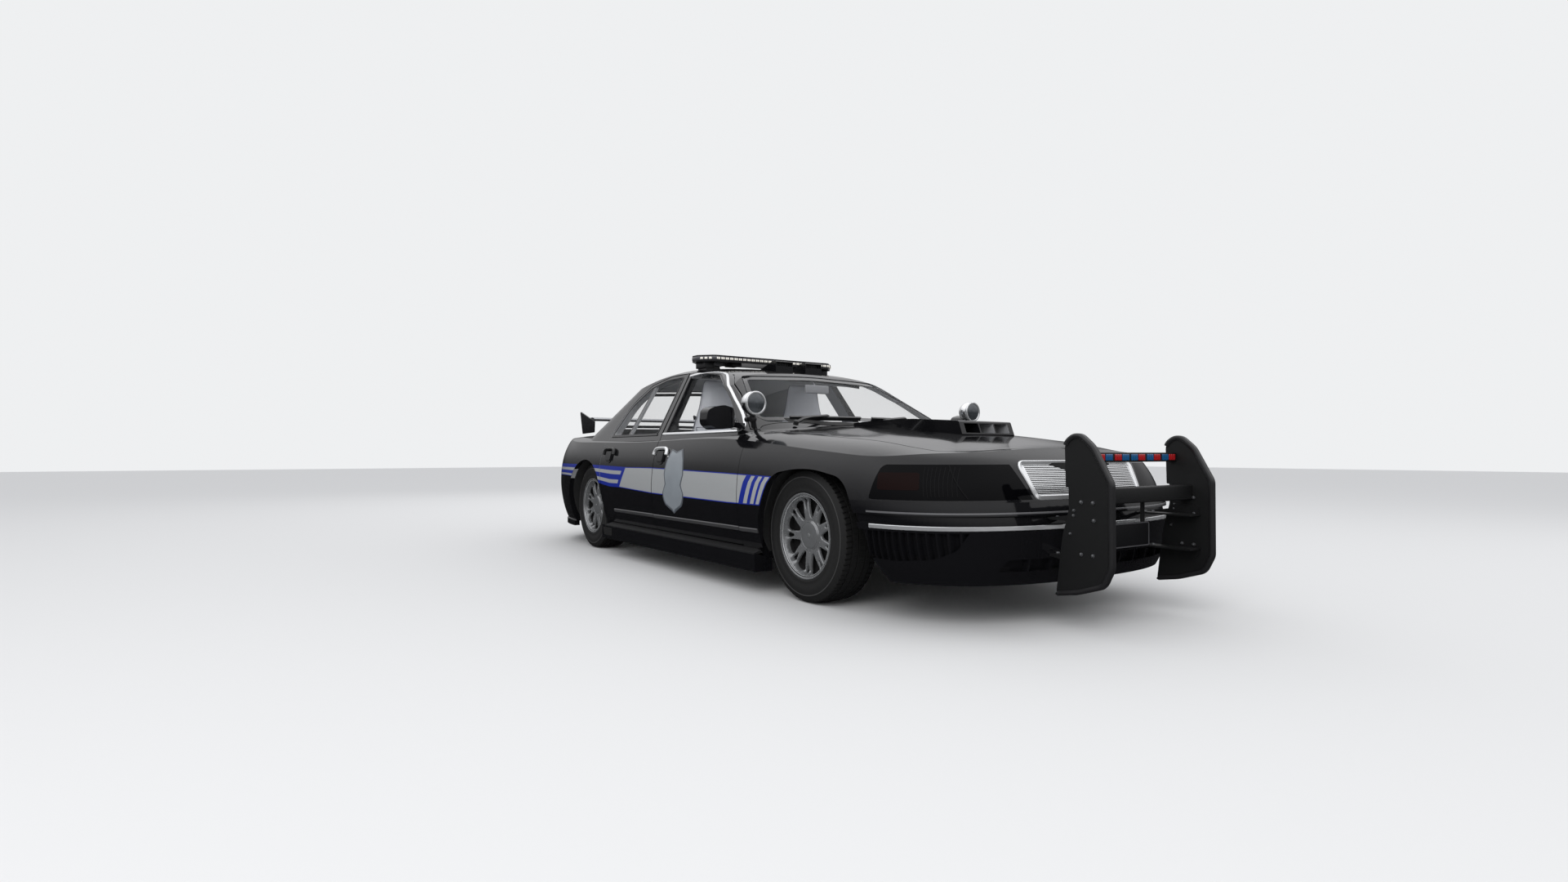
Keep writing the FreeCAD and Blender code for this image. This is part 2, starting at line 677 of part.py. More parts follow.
intake = intake.cut(Part.makeCompound(dividers)).cut(bumper_body(intake_deep, sill_z))
front_bumper = without(bumper_skin.common(front_bumper_box),
                       wells + [front_pan, groove, pocket, mirrored(pocket), intake])
keep("front_bumper", max(front_bumper.Solids, key=lambda solid: solid.Volume))


# Rear bumper with a lip below it
lip_out = 12.0
lip_in = 30.0
lip_low_z = 150.0
lip_front_x = -3290.0


def level_block(out, z_from, z_to):
    """Solid between two heights with the plan outline of the lowest level of the body, moved out."""
    share, width, nose, tail = level_shares[0]
    right = body_points(half_width * width + out, nose_reach * nose + out, tail_turn_x - tail_reach * tail - out,
                        lambda x: z_from)
    marks = chord_marks(right)
    left = [Vector(p.x, -p.y, p.z) for p in right]
    rim = Part.Wire([smooth_line(right, marks).toShape(), smooth_line(left, marks).toShape()])
    return Part.Face(rim).extrude(Vector(0, 0, z_to - z_from))


rear_pan = block(pan_back_x, door_back_x, -pan_half_y, pan_half_y, 0, floor_top_z)
rear_bumper_box = block(tail_x - overrun, rear_axle_x, -half_far, half_far, 0, rear_bumper_z)
lip = level_block(lip_out, lip_low_z, sill_z).cut(level_block(-lip_in, lip_low_z, sill_z))
lip = lip.common(block(tail_x - overrun, lip_front_x, -half_far, half_far, 0, sill_z))
rear_bumper = without(skin.common(rear_bumper_box), wells + [rear_pan])
keep("rear_bumper", without(rear_bumper.fuse(lip), [rear_well, mirrored(rear_well)]))

# Quarters and boot lid
rear_box = block(tail_x - overrun, door_back_x, -half_far, half_far, rear_bumper_z, quarter_top_z)
rear_box = rear_box.fuse(block(tail_x - overrun, lid_front_x, -half_far, half_far, quarter_top_z, roof_z))
rear_low = block(rear_axle_x, door_back_x, -half_far, half_far, 0, rear_bumper_z)
lid_box = block(tail_x - overrun, lid_front_x, -lid_half_y, lid_half_y, lid_low_z, roof_z)
lid_grown = block(tail_x - overrun, lid_front_x + shut_line, -lid_half_y - shut_line, lid_half_y + shut_line,
                  lid_low_z - shut_line, roof_z)
quarters = skin.common(rear_box.fuse(rear_low))
keep("quarter_panels", without(quarters, [lid_grown, tail_hole, mirrored(tail_hole), rear_pan] + wells))
keep("boot_lid", skin.common(lid_box))

# Structure inside: floor, walls, rails and beams
wall = 18.0
plate = 12.0
liner = 6.0
boot_floor_z = 330.0
boot_back_x = tail_x + 180.0
kick_x = -3320.0               # floor rises here over the rear axle
kick_run = 30.0
kick_z = 540.0
shelf_z = 838.0
rail_inner_y = 415.0
rail_z = 250.0
rail_height = 110.0
beam_low_z = 385.0
beam_high_z = 500.0
beam_half_y = 600.0
rear_beam_deep = 250.0
front_beam_x = 700.0
tunnel_half_y = 150.0
tunnel_z = 330.0
firewall_half_y = 770.0
firewall_z = 760.0
axle_slot_half = 62.0
radiator_x = 740.0
radiator_thick = 50.0
radiator_half_y = 560.0
radiator_z = 690.0


def wheelhouse(space, barrel, wheel_x):
    """Right-hand liner over a wheel: a half barrel with its inner wall."""
    upper = block(wheel_x - 2 * arch_radius, wheel_x + 2 * arch_radius, -half_far, 0, sill_z, roof_z)
    return barrel.cut(space).common(upper).common(middle)


def wheel_barrel(x, inner_y, outer_y, radius):
    return Part.makeCylinder(radius, outer_y - inner_y, Vector(x, -outer_y, arch_z), Vector(0, 1, 0))


firewall = block(door_front_x - wall, door_front_x, -firewall_half_y, firewall_half_y, sill_z, firewall_z)
bulkhead = block(door_back_x, door_back_x + wall, -rear_well_y, rear_well_y, sill_z, shelf_z)
tunnel = block(door_back_x, door_front_x, -tunnel_half_y, tunnel_half_y, sill_z, tunnel_z)
floor = block(door_back_x, door_front_x, -floor_half_y, floor_half_y, sill_z, floor_top_z)
jack_half_x = 50.0
jack_half_y = 30.0
jack_y = 770.0
jack_z = 172.0
jack_places = (-700.0, -2350.0)
pads = []
for x in jack_places:
    for side in (-1, 1):
        pads.append(block(x - jack_half_x, x + jack_half_x, side * jack_y - jack_half_y,
                          side * jack_y + jack_half_y, jack_z, sill_z))
keep("floor_pan", without(join([floor, tunnel, firewall, bulkhead] + pads), wells))

shelf = middle.common(block(lid_front_x + 2 * wall, door_back_x - wall, -half_far, half_far, shelf_z - plate, shelf_z))
kick_outline = ((boot_back_x, boot_floor_z, 0), (kick_x, boot_floor_z, 0), (kick_x + kick_run, kick_z, 0),
                (door_back_x - wall, kick_z, 0), (door_back_x - wall, kick_z + plate, 0),
                (kick_x + kick_run - plate, kick_z + plate, 0), (kick_x - plate, boot_floor_z + plate, 0),
                (boot_back_x, boot_floor_z + plate, 0))
boot_floor = middle.common(side_prism(kick_outline, -half_far, half_far))
rear_beam = lining.common(block(tail_x, tail_x + rear_beam_deep, -beam_half_y, beam_half_y, beam_low_z, beam_high_z))
rear_house = wheelhouse(rear_well, wheel_barrel(rear_axle_x, rear_well_y - liner, half_far, arch_radius + liner),
                        rear_axle_x)
axle_slot = block(rear_axle_x - axle_slot_half, rear_axle_x + axle_slot_half, -half_far, 0, sill_z,
                  tyre_radius + axle_slot_half)
rear_house = rear_house.cut(axle_slot)
rear_space = block(tail_x, door_back_x - wall, -half_far, half_far, 0, roof_z)
rear_houses = join([rear_house, mirrored(rear_house)]).common(rear_space)
rear_rail_out = 560.0
rear_rail_in = 480.0
rear_rail_deep = 70.0
rear_rails = block(boot_back_x, kick_x, -rear_rail_out, -rear_rail_in, boot_floor_z - rear_rail_deep, boot_floor_z)
rear_rails = rear_rails.fuse(mirrored(rear_rails)).common(inner)
keep("boot_floor", join([without(shelf.fuse(boot_floor), wells), rear_houses, rear_rails]))
keep("rear_beam", rear_beam)

front_rail = block(door_front_x, nose_reach + bumper_proud, -front_well_y + liner, -rail_inner_y, rail_z, rail_z + rail_height)
bumper_inner = bumper_body(door_depth, floor_top_z)
front_rail = front_rail.common(bumper_inner)
front_barrels = wheel_barrel(front_arch_x, front_well_y - liner, half_far, arch_radius + liner)
front_barrels = front_barrels.fuse(side_prism(front_arch_outline, -half_far, -front_well_y + liner, liner))
rear_of_well = block(door_front_x, nose_reach, -half_far, 0, 0, roof_z)
front_house = wheelhouse(front_well, front_barrels, front_arch_x).common(rear_of_well).cut(hood_prism)
radiator = block(radiator_x, radiator_x + radiator_thick, -radiator_half_y, radiator_half_y,
                 rail_z + rail_height, radiator_z).common(inner)
front_beam = block(front_beam_x, nose_reach + bumper_proud, -beam_half_y, beam_half_y, beam_low_z, beam_high_z)
front_beam = front_beam.common(bumper_body(skin_depth, floor_top_z)).cut(bumper_inner)
keep("front_structure", join([front_rail, mirrored(front_rail), front_house, mirrored(front_house), radiator]))
keep("front_beam", front_beam)

# Engine, suspension, axle
engine_half_x = 330.0
engine_half_y = 290.0
engine_top_z = 700.0
keep("engine_block", block(-engine_half_x, engine_half_x, -engine_half_y, engine_half_y, rail_z, engine_top_z))
hub_y = 845.0                  # mounting face of a wheel
spindle_radius = 34.0
post_radius = 22.0
post_low_z = 235.0
post_high_z = 480.0
cross_z = 170.0
cross_half_x = 80.0
arm_z = 190.0
arm_thick = 22.0
arm_root_y = 380.0
arm_tip_half = 28.0
arm_past = 25.0
arm_corner = 14.0
top_arm_half = 40.0
top_tip_half = 18.0
cross = block(-cross_half_x, cross_half_x, -rail_inner_y, rail_inner_y, cross_z, rail_z)
low_arm = plan_prism(((-cross_half_x, -arm_root_y, arm_corner), (cross_half_x, -arm_root_y, arm_corner),
                      (arm_tip_half, -steer_y - arm_past, arm_corner), (-arm_tip_half, -steer_y - arm_past, arm_corner)),
                     arm_z, arm_z + arm_thick)
low_boss = tube(Vector(0, -steer_y, arm_z), Vector(0, -steer_y, post_low_z - seat_mark), post_radius)
top_root_y = front_well_y + seat_mark
top_arm = plan_prism(((-top_arm_half, -top_root_y, 0), (top_arm_half, -top_root_y, 0),
                      (top_tip_half, -steer_y - arm_past, arm_corner), (-top_tip_half, -steer_y - arm_past, arm_corner)),
                     post_high_z + seat_mark, post_high_z + seat_mark + arm_thick)
arms = low_arm.fuse(low_boss)
keep("front_suspension", join([cross, arms, mirrored(arms), top_arm, mirrored(top_arm)]))
post = tube(Vector(0, -steer_y, post_low_z), Vector(0, -steer_y, post_high_z), post_radius)
spindle = tube(Vector(0, -steer_y, tyre_radius), Vector(0, -hub_y + seat_mark, tyre_radius), spindle_radius)
knuckle = post.fuse(spindle)
keep("knuckle_right", knuckle)
keep("knuckle_left", mirrored(knuckle))
axle_tube_radius = 40.0
casing_radius = 130.0
casing_half_y = 140.0
casing_front = 110.0
link_y = 520.0
link_radius = 22.0
link_drop = 40.0
axle_end = hub_y - seat_mark
axle = tube(Vector(rear_axle_x, -axle_end, tyre_radius), Vector(rear_axle_x, axle_end, tyre_radius), axle_tube_radius)
casing = Part.makeSphere(casing_radius, Vector(rear_axle_x, 0, tyre_radius)).common(
    block(rear_axle_x - casing_radius, rear_axle_x + casing_front, -casing_half_y, casing_half_y, 0, roof_z))
link = tube(Vector(rear_axle_x, -link_y, tyre_radius - link_drop),
            Vector(door_back_x, -link_y, tyre_radius - link_drop), link_radius)
keep("rear_axle", join([axle, casing, link, mirrored(link)]))

# Exhaust: a pipe under the floor and a silencer under the boot
pipe_radius = 26.0
pipe_y = 350.0
pipe_z = sill_z - pipe_radius
pipe_front_x = -600.0
pipe_bend_x = -2620.0
silencer_front_x = -3400.0
silencer_back_x = -3820.0
silencer_half_y = 110.0
silencer_low_z = 215.0
silencer_pipe_z = 270.0
low_pipe = tube(Vector(pipe_front_x, -pipe_y, pipe_z), Vector(pipe_bend_x, -pipe_y, pipe_z), pipe_radius)
elbow = Part.makeSphere(pipe_radius, Vector(pipe_bend_x, -pipe_y, pipe_z))
rise = tube(Vector(pipe_bend_x, -pipe_y, pipe_z), Vector(silencer_front_x - overrun, -pipe_y, silencer_pipe_z), pipe_radius)
silencer = block(silencer_back_x, silencer_front_x, -pipe_y - silencer_half_y, -pipe_y + silencer_half_y,
                 silencer_low_z, boot_floor_z)
keep("exhaust", join([low_pipe, elbow, rise, silencer]))

# Wheels
tyre_half = tyre_width / 2
rim_face_y = 75.0              # outer face of a wheel, from the middle of the tyre
bead_y = 100.0
flange_y = 106.0
tyre_bulge = 105.0
flange_high = 12.0
bead_high = 16.0


def around_y(points, x, y, z, side):
    """Ring turned about a wheel axis from (distance along the axis outward, radius) corners."""
    corners = [Vector(x, y - side * a, z + r) for a, r in points]
    face = Part.Face(Part.makePolygon(corners + [corners[0]]))
    return face.revolve(Vector(x, y, z), Vector(0, 1, 0), 360)


tyre_outer_half = ((bead_y, bead_radius), (bead_y, bead_radius + bead_high), (tyre_bulge, 240.0), (tyre_half, 270.0),
                   (flange_y, 308.0), (92.0, 331.0), (60.0, tyre_radius))
tyre_points = [(-a, r) for a, r in tyre_outer_half] + [(a, r) for a, r in reversed(tyre_outer_half)]
hub_face = hub_y - wheel_y
hub_thick = 18.0
cap_thick = 4.0
rim_points = (
    (-bead_y, bead_radius), (-bead_y, bead_radius + flange_high), (-flange_y, bead_radius + flange_high),
    (-flange_y, 196.0), (-40.0, 180.0), (hub_face - hub_thick, 176.0), (hub_face, 150.0), (hub_face, 0),
    (rim_face_y + cap_thick, 0), (rim_face_y + cap_thick, 65.0), (rim_face_y - 6.0, 80.0), (rim_face_y - 2.0, 150.0),
    (rim_face_y, 196.0), (flange_y, 204.0), (flange_y, bead_radius + flange_high),
    (bead_y, bead_radius + flange_high), (bead_y, bead_radius), (76.0, 201.0), (-70.0, 193.0),
)
hole_count = 9
hole_radius = 24.0
hole_circle = 130.0
for place, x in (("front", 0.0), ("rear", rear_axle_x)):
    tyre = around_y(tyre_points, x, -wheel_y, tyre_radius, 1)
    rim = around_y(rim_points, x, -wheel_y, tyre_radius, 1)
    openings = []
    for i in range(hole_count):
        opening = tube(Vector(x, -wheel_y - hub_face - overrun, tyre_radius + hole_circle),
                       Vector(x, -wheel_y, tyre_radius + hole_circle), hole_radius)
        opening.rotate(Vector(x, 0, tyre_radius), Vector(0, 1, 0), i * 360 / hole_count)
        openings.append(opening)
    rim = without(rim, openings)
    keep("tyre_" + place + "_right", tyre)
    keep("tyre_" + place + "_left", mirrored(tyre))
    keep("rim_" + place + "_right", rim)
    keep("rim_" + place + "_left", mirrored(rim))

# Seats, dashboard, steering wheel
front_seat_y = 370.0
seat_half = 250.0
seat_foot = 200.0
seat_low_z = 330.0
seat_outline = ((-1130.0, seat_low_z, 30.0), (-1110.0, 500.0, 60.0), (-1560.0, 470.0, 60.0), (-1740.0, 1110.0, 200.0),
                (-1745.0, 1285.0, 35.0), (-1850.0, 1285.0, 35.0), (-1860.0, 1130.0, 200.0), (-1760.0, seat_low_z, 60.0))
seat_front = ((-seat_half, floor_top_z, 0), (-seat_half, 940.0, 90.0), (-175.0, 1075.0, 90.0), (-140.0, 1300.0, 50.0),
              (140.0, 1300.0, 50.0), (175.0, 1075.0, 90.0), (seat_half, 940.0, 90.0), (seat_half, floor_top_z, 0))
seat_foot_front = -1180.0
seat_foot_back = -1640.0
seat_base = block(seat_foot_back, seat_foot_front, -seat_foot, seat_foot, floor_top_z, seat_low_z)
front_seat = side_prism(seat_outline, -seat_half, seat_half)
front_seat = front_seat.common(front_prism(seat_front, tail_x, 0.0)).fuse(seat_base)
front_seats = []
for side in (-1, 1):
    seat = front_seat.copy()
    seat.translate(Vector(0, side * front_seat_y, 0))
    front_seats.append(seat)
keep("front_seats", Part.makeCompound(front_seats))
bench_half = 600.0
bench_front_x = -2030.0
bench_back_x = -2573.0
rear_outline = ((bench_front_x, floor_top_z, 20.0), (bench_front_x, 500.0, 60.0), (-2380.0, 470.0, 60.0),
                (-2500.0, 900.0, 30.0), (bench_back_x, 900.0, 20.0), (bench_back_x, floor_top_z, 20.0))
rear_seat = side_prism(rear_outline, -bench_half, bench_half)
tunnel_grown = block(door_back_x, door_front_x, -tunnel_half_y, tunnel_half_y, 0, tunnel_z)
keep("rear_seat", rear_seat.cut(tunnel_grown))
dash_half = 760.0
dash_front_x = -549.0
dash_outline = ((dash_front_x, 560.0, 0), (dash_front_x, 780.0, 0), (-640.0, 842.0, 30.0), (-840.0, 850.0, 60.0),
                (-905.0, 760.0, 40.0), (-860.0, 620.0, 40.0), (-740.0, 560.0, 30.0))
dash = side_prism(dash_outline, -dash_half, dash_half).common(inner)
keep("dashboard", max(dash.Solids, key=lambda solid: solid.Volume))
wheel_centre = Vector(-1080.0, front_seat_y, 800.0)
wheel_lean = Vector(0.90, 0, -0.42)
wheel_lean.normalize()
wheel_ring = 185.0
wheel_grip = 15.0
spoke_thick = 12.0
hub_disc_half = 20.0
hub_disc_radius = 60.0
column_radius = 24.0
column_length = 400.0
across = Vector(0, 1, 0)
steering = Part.makeTorus(wheel_ring, wheel_grip, wheel_centre, wheel_lean)
spoke_bar = tube(wheel_centre - across * wheel_ring, wheel_centre + across * wheel_ring, spoke_thick)
hub_disc = tube(wheel_centre - wheel_lean * hub_disc_half, wheel_centre + wheel_lean * hub_disc_half, hub_disc_radius)
column = tube(wheel_centre, wheel_centre + wheel_lean * column_length, column_radius).cut(nodes["dashboard"])
column = max(column.Solids, key=lambda solid: solid.CenterOfMass.x * -1)
keep("steering_wheel", join([steering, spoke_bar, hub_disc, column]))

# Mirrors and spotlights
mirror_back_x = -775.0
mirror_front_x = -618.0
mirror_front = ((-928.0, 902.0, 30.0), (-935.0, 1008.0, 40.0), (-1010.0, 1028.0, 60.0), (-1080.0, 1012.0, 40.0),
                (-1090.0, 925.0, 45.0), (-1040.0, 890.0, 40.0))
mirror_plan = ((mirror_back_x, -920.0, 15.0), (mirror_back_x, -1095.0, 15.0), (-700.0, -1095.0, 60.0),
               (-625.0, -1040.0, 60.0), (mirror_front_x, -960.0, 35.0), (-650.0, -920.0, 20.0))
mirror_low_z = 880.0
mirror_high_z = 1035.0
arm_front_outline = ((-845.0, 896.0, 0), (-845.0, 930.0, 0), (-940.0, 935.0, 0), (-940.0, 905.0, 0))
mirror_arm_back = -735.0
mirror_arm_front = -670.0
mirror = front_prism(mirror_front, mirror_back_x, mirror_front_x).common(plan_prism(mirror_plan, mirror_low_z, mirror_high_z))
mirror_arm = front_prism(arm_front_outline, mirror_arm_back, mirror_arm_front)
mirror = mirror.fuse(mirror_arm).cut(outer)
mirror = max(mirror.Solids, key=lambda solid: solid.Volume)
keep("mirror_right", mirror)
keep("mirror_left", mirrored(mirror))
spot_centre = Vector(-540.0, -873.0, 1037.0)
spot_radius = 68.0
spot_lens = 30.0
spot_foot = Vector(-90.0, 75.0, -157.0)
spot_inside = Vector(0, 0, 40.0)
stem_radius = 12.0
spot = Part.makeSphere(spot_radius, spot_centre).common(
    block(spot_centre.x - spot_radius, spot_centre.x + spot_lens, -half_far, 0, 0, roof_z))
spot_stem = tube(spot_centre - spot_inside, spot_centre + spot_foot, stem_radius)
spot = spot.fuse(spot_stem).cut(outer)
spot = max(spot.Solids, key=lambda solid: solid.Volume)
keep("spotlights", Part.makeCompound([spot, mirrored(spot)]))

# Push bar
bar_y = 372.0
bar_thick = 14.0
plate_outline = (
    (1118.0, 158.0, 10.0), (1225.0, 176.0, 200.0), (1345.0, 215.0, 60.0), (push_bar_reach, 290.0, 60.0),
    (push_bar_reach, 631.0, 60.0), (1300.0, 780.0, 120.0), (1227.0, 843.0, 50.0), (1165.0, 800.0, 50.0),
    (1169.0, 613.0, 5.0), (1183.0, 611.0, 5.0), (1183.0, 520.0, 60.0), (1150.0, 400.0, 300.0),
)
cross_x = 1230.0
cross_low_z = 545.0
cross_size = 60.0
bracket_back_x = 1040.0
bracket_front_x = 1330.0
bracket_wide = 90.0
bracket_thick = 8.0
bracket_high_z = 470.0
bracket_low_z = 315.0
lights_x = 1185.0
lights_deep = 30.0
lights_low_z = 721.0
lights_high_z = 755.0
plate_right = side_prism(plate_outline, -bar_y - bar_thick, -bar_y)
cross_bar = block(cross_x, cross_x + cross_size, -bar_y, bar_y, cross_low_z, cross_low_z + cross_size)
bracket_top = block(bracket_back_x, bracket_front_x, -bar_y, -bar_y + bracket_wide,
                    bracket_high_z, bracket_high_z + bracket_thick)
bracket_low = block(bracket_back_x, bracket_front_x, -bar_y, -bar_y + bracket_wide,
                    bracket_low_z, bracket_low_z + bracket_thick)
brackets = bracket_top.fuse(bracket_low).cut(bumper_outer)
half_bar = plate_right.fuse(brackets)
keep("push_bar", join([half_bar, mirrored(half_bar), cross_bar]))
keep("push_bar_lights", block(lights_x, lights_x + lights_deep, -bar_y, bar_y, lights_low_z, lights_high_z))

# Light bar, roof vents, skirts, wing
light_x = -1775.0
light_half_x = 135.0
light_half_y = 590.0
light_taper_y = 500.0
light_tip_x = 40.0
light_low_z = 1404.0
light_high_z = 1450.0
foot_half_x = 60.0
foot_z = 1300.0
foot_outline = ((-530.0, foot_z, 0), (-530.0, light_low_z, 0), (-430.0, light_low_z, 0), (-395.0, foot_z, 0))
light_corner = 60.0
tip_corner = 40.0
light_plan = ((light_x + light_half_x, -light_taper_y, light_corner), (light_x + light_tip_x, -light_half_y, tip_corner),
              (light_x - light_tip_x, -light_half_y, tip_corner), (light_x - light_half_x, -light_taper_y, light_corner),
              (light_x - light_half_x, light_taper_y, light_corner), (light_x - light_tip_x, light_half_y, tip_corner),
              (light_x + light_tip_x, light_half_y, tip_corner), (light_x + light_half_x, light_taper_y, light_corner))
light = plan_prism(light_plan, light_low_z, light_high_z)
foot = front_prism(foot_outline, light_x - foot_half_x, light_x + foot_half_x).cut(outer)
keep("light_bar", join([light, foot, mirrored(foot)]))
vent_front_x = -1322.0
vent_outer_y = 197.0
vent_inner_y = 53.0
vent_rim = 7.0
vent_mouth = 30.0
vent_mouth_low = 1362.0
vent_mouth_high = 1390.0
vent_base_z = 1300.0
vent_outline = ((vent_front_x, vent_base_z, 0), (vent_front_x, 1397.0, 10.0), (-1360.0, 1399.0, 30.0), (-1560.0, 1340.0, 0))
vent = side_prism(vent_outline, -vent_outer_y, -vent_inner_y).cut(outer)
mouth = block(vent_front_x - vent_mouth, vent_front_x, -vent_outer_y + vent_rim, -vent_inner_y - vent_rim,
              vent_mouth_low, vent_mouth_high)
vent = vent.cut(mouth)
keep("roof_vents", Part.makeCompound([vent, mirrored(vent)]))
skirt_front_x = -332.0
skirt_back_x = -2490.0
skirt_low_z = 122.0
skirt_high_z = 222.0
skirt_outer_y = 992.0
skirt_inner_y = 880.0
skirt_corner = 10.0
skirt_outline = ((-skirt_inner_y, skirt_low_z, skirt_corner), (-skirt_outer_y, skirt_low_z, skirt_corner),
                 (-skirt_outer_y, skirt_high_z, 0), (-half_width, skirt_high_z, 0),
                 (-skirt_inner_y, sill_z, 0))
skirt = front_prism(skirt_outline, skirt_back_x, skirt_front_x)
skirt = skirt.cut(outer)
keep("side_skirts", Part.makeCompound([skirt, mirrored(skirt)]))
wing_z = 1060.0
wing_half_y = 602.0
end_thick = 12.0
stand_y = 300.0
stand_half = 6.0
stand_top_z = wing_z + 2.0
stand_low_z = 850.0
foil_outline = ((-3690.0, wing_z, 5.0), (-3750.0, wing_z + 22.0, 60.0), (-3930.0, wing_z + 18.0, 5.0),
                (-3760.0, wing_z - 8.0, 60.0))
end_outline = ((-3690.0, 1046.0, 10.0), (-3700.0, 945.0, 10.0), (-3980.0, 938.0, 10.0), (-4045.0, 1149.0, 12.0))
stand_outline = ((-3770.0, stand_low_z, 0), (-3800.0, stand_top_z, 0), (-3860.0, stand_top_z, 0),
                 (-3860.0, stand_low_z, 0))
foil = side_prism(foil_outline, -wing_half_y + end_thick, wing_half_y - end_thick)
end_plate = side_prism(end_outline, -wing_half_y, -wing_half_y + end_thick)
stand = side_prism(stand_outline, -stand_y - stand_half, -stand_y + stand_half)
stand = stand.cut(outer).cut(foil)
keep("rear_wing", join([foil, end_plate, mirrored(end_plate), stand, mirrored(stand)]))


def export():
    os.makedirs("parts", exist_ok=True)
    for name, shape in nodes.items():
        shape = shape.copy()
        shape.translate(Vector(shift_x, 0, 0))
        shape.exportStep("parts/" + name + ".step")
        box = shape.BoundBox
        print(name, len(shape.Solids), shape.isValid(), round(shape.Volume / 1e6, 1),
              [round(v) for v in (box.XMin, box.XMax, box.YMin, box.YMax, box.ZMin, box.ZMax)])


export()
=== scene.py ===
import math
import bpy
import bmesh
from mathutils import Matrix, Vector
from mathutils.bvhtree import BVHTree
from mathutils.geometry import delaunay_2d_cdt


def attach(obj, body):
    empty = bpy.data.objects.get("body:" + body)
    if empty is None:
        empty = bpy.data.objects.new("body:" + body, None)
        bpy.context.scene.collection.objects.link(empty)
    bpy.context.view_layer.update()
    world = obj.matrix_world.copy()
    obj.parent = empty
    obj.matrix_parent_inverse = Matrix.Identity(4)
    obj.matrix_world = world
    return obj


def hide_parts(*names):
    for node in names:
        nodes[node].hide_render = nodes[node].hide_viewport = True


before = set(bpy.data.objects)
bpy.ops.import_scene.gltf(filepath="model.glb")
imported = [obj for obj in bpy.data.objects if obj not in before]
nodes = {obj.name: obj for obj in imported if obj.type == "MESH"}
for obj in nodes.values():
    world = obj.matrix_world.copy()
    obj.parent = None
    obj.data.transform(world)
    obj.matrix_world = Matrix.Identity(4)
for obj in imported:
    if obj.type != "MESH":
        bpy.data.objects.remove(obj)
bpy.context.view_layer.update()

# Lengths below are millimetres from the front axle: x forward, y left, z up.
AXLE_X = 1.434                 # front axle ahead of the row's origin, in metres
REAR_X = -2913.0               # rear axle
WHEEL_Y = 800.0                # middle of a wheel
TYRE_R = 338.0
SUNK = 1.0                     # how deep a strip sits in its panel
COAT_ROUGH = 0.03
BUMP_DEPTH = 0.001             # metres
GLASS_EDGE = 0.22              # how opaque glass gets where it is seen edge on
LINING_Z = 0.55                # above this height, in metres, faces that look inward are lining
CABIN_MIDDLE = (-0.2, 0, 0.85)
ROOT = ("root", "root")
DOORS = ("front_door_right", "front_door_left")
REARS = ("rear_door_right", "rear_door_left")


def at(x, y, z):
    """Point in the row frame, in metres."""
    return Vector((x / 1000 + AXLE_X, y / 1000, z / 1000))


def other(body):
    """The left-hand body that matches a right-hand one."""
    return body.replace("right", "left")


# Materials
def node(tree, kind, values=None, **settings):
    """New shader node; values set its sockets, or link them where a value is another node's output."""
    made = tree.nodes.new("ShaderNode" + kind)
    for name, value in settings.items():
        setattr(made, name, value)
    for name, value in (values or {}).items():
        if isinstance(value, bpy.types.NodeSocket):
            tree.links.new(value, made.inputs[name])
        else:
            made.inputs[name].default_value = value
    return made


def grey_ramp(tree, value, low, high):
    ramp = node(tree, "ValToRGB", {"Fac": value})
    ramp.color_ramp.elements[0].color = (*low, 1)
    ramp.color_ramp.elements[1].color = (*high, 1)
    return ramp


def material(name, color, rough, metal=0.0, coat=0.0, spread=0.08, scale=40.0, shade=0.06, bump=0.0,
             bump_scale=300.0, specular=0.5, alpha=None, sheen=0.0, stretch=(1, 1, 1), emission=None):
    """Procedural material: noise varies its colour and roughness a little, and bump its surface."""
    made = bpy.data.materials.new(name)
    made.use_nodes = True
    tree = made.node_tree
    link = tree.links.new
    shader = tree.nodes["Principled BSDF"]
    for socket, value in (("Metallic", metal), ("Coat Weight", coat), ("Coat Roughness", COAT_ROUGH),
                          ("Specular IOR Level", specular), ("Sheen Weight", sheen)):
        shader.inputs[socket].default_value = value
    where = node(tree, "TexCoord")
    turn = node(tree, "Mapping", {"Vector": where.outputs["Object"], "Scale": stretch})
    noise = node(tree, "TexNoise", {"Vector": turn.outputs["Vector"], "Scale": scale, "Detail": 4})
    low = [c * (1 - shade) for c in color]
    high = [min(1.0, c * (1 + shade)) for c in color]
    link(grey_ramp(tree, noise.outputs["Fac"], low, high).outputs["Color"], shader.inputs["Base Color"])
    span = node(tree, "MapRange", {"Value": noise.outputs["Fac"], "To Min": max(0.0, rough - spread),
                                   "To Max": min(1.0, rough + spread)})
    link(span.outputs["Result"], shader.inputs["Roughness"])
    if bump:
        grain = node(tree, "TexNoise", {"Vector": turn.outputs["Vector"], "Scale": bump_scale, "Detail": 3})
        relief = node(tree, "Bump", {"Height": grain.outputs["Fac"], "Strength": bump,
                                     "Distance": BUMP_DEPTH})
        link(relief.outputs["Normal"], shader.inputs["Normal"])
    if alpha is not None:
        edge = node(tree, "LayerWeight", {"Blend": 0.5})
        bend = node(tree, "Math", {0: edge.outputs["Facing"], 1: 3.0}, operation="POWER")
        veil = node(tree, "MapRange", {"Value": bend.outputs["Value"], "To Min": alpha, "To Max": GLASS_EDGE})
        link(veil.outputs["Result"], shader.inputs["Alpha"])
        made.surface_render_method = "BLENDED"
    if emission:
        shader.inputs["Emission Color"].default_value = (*emission[:3], 1)
        shader.inputs["Emission Strength"].default_value = emission[3]
    return made


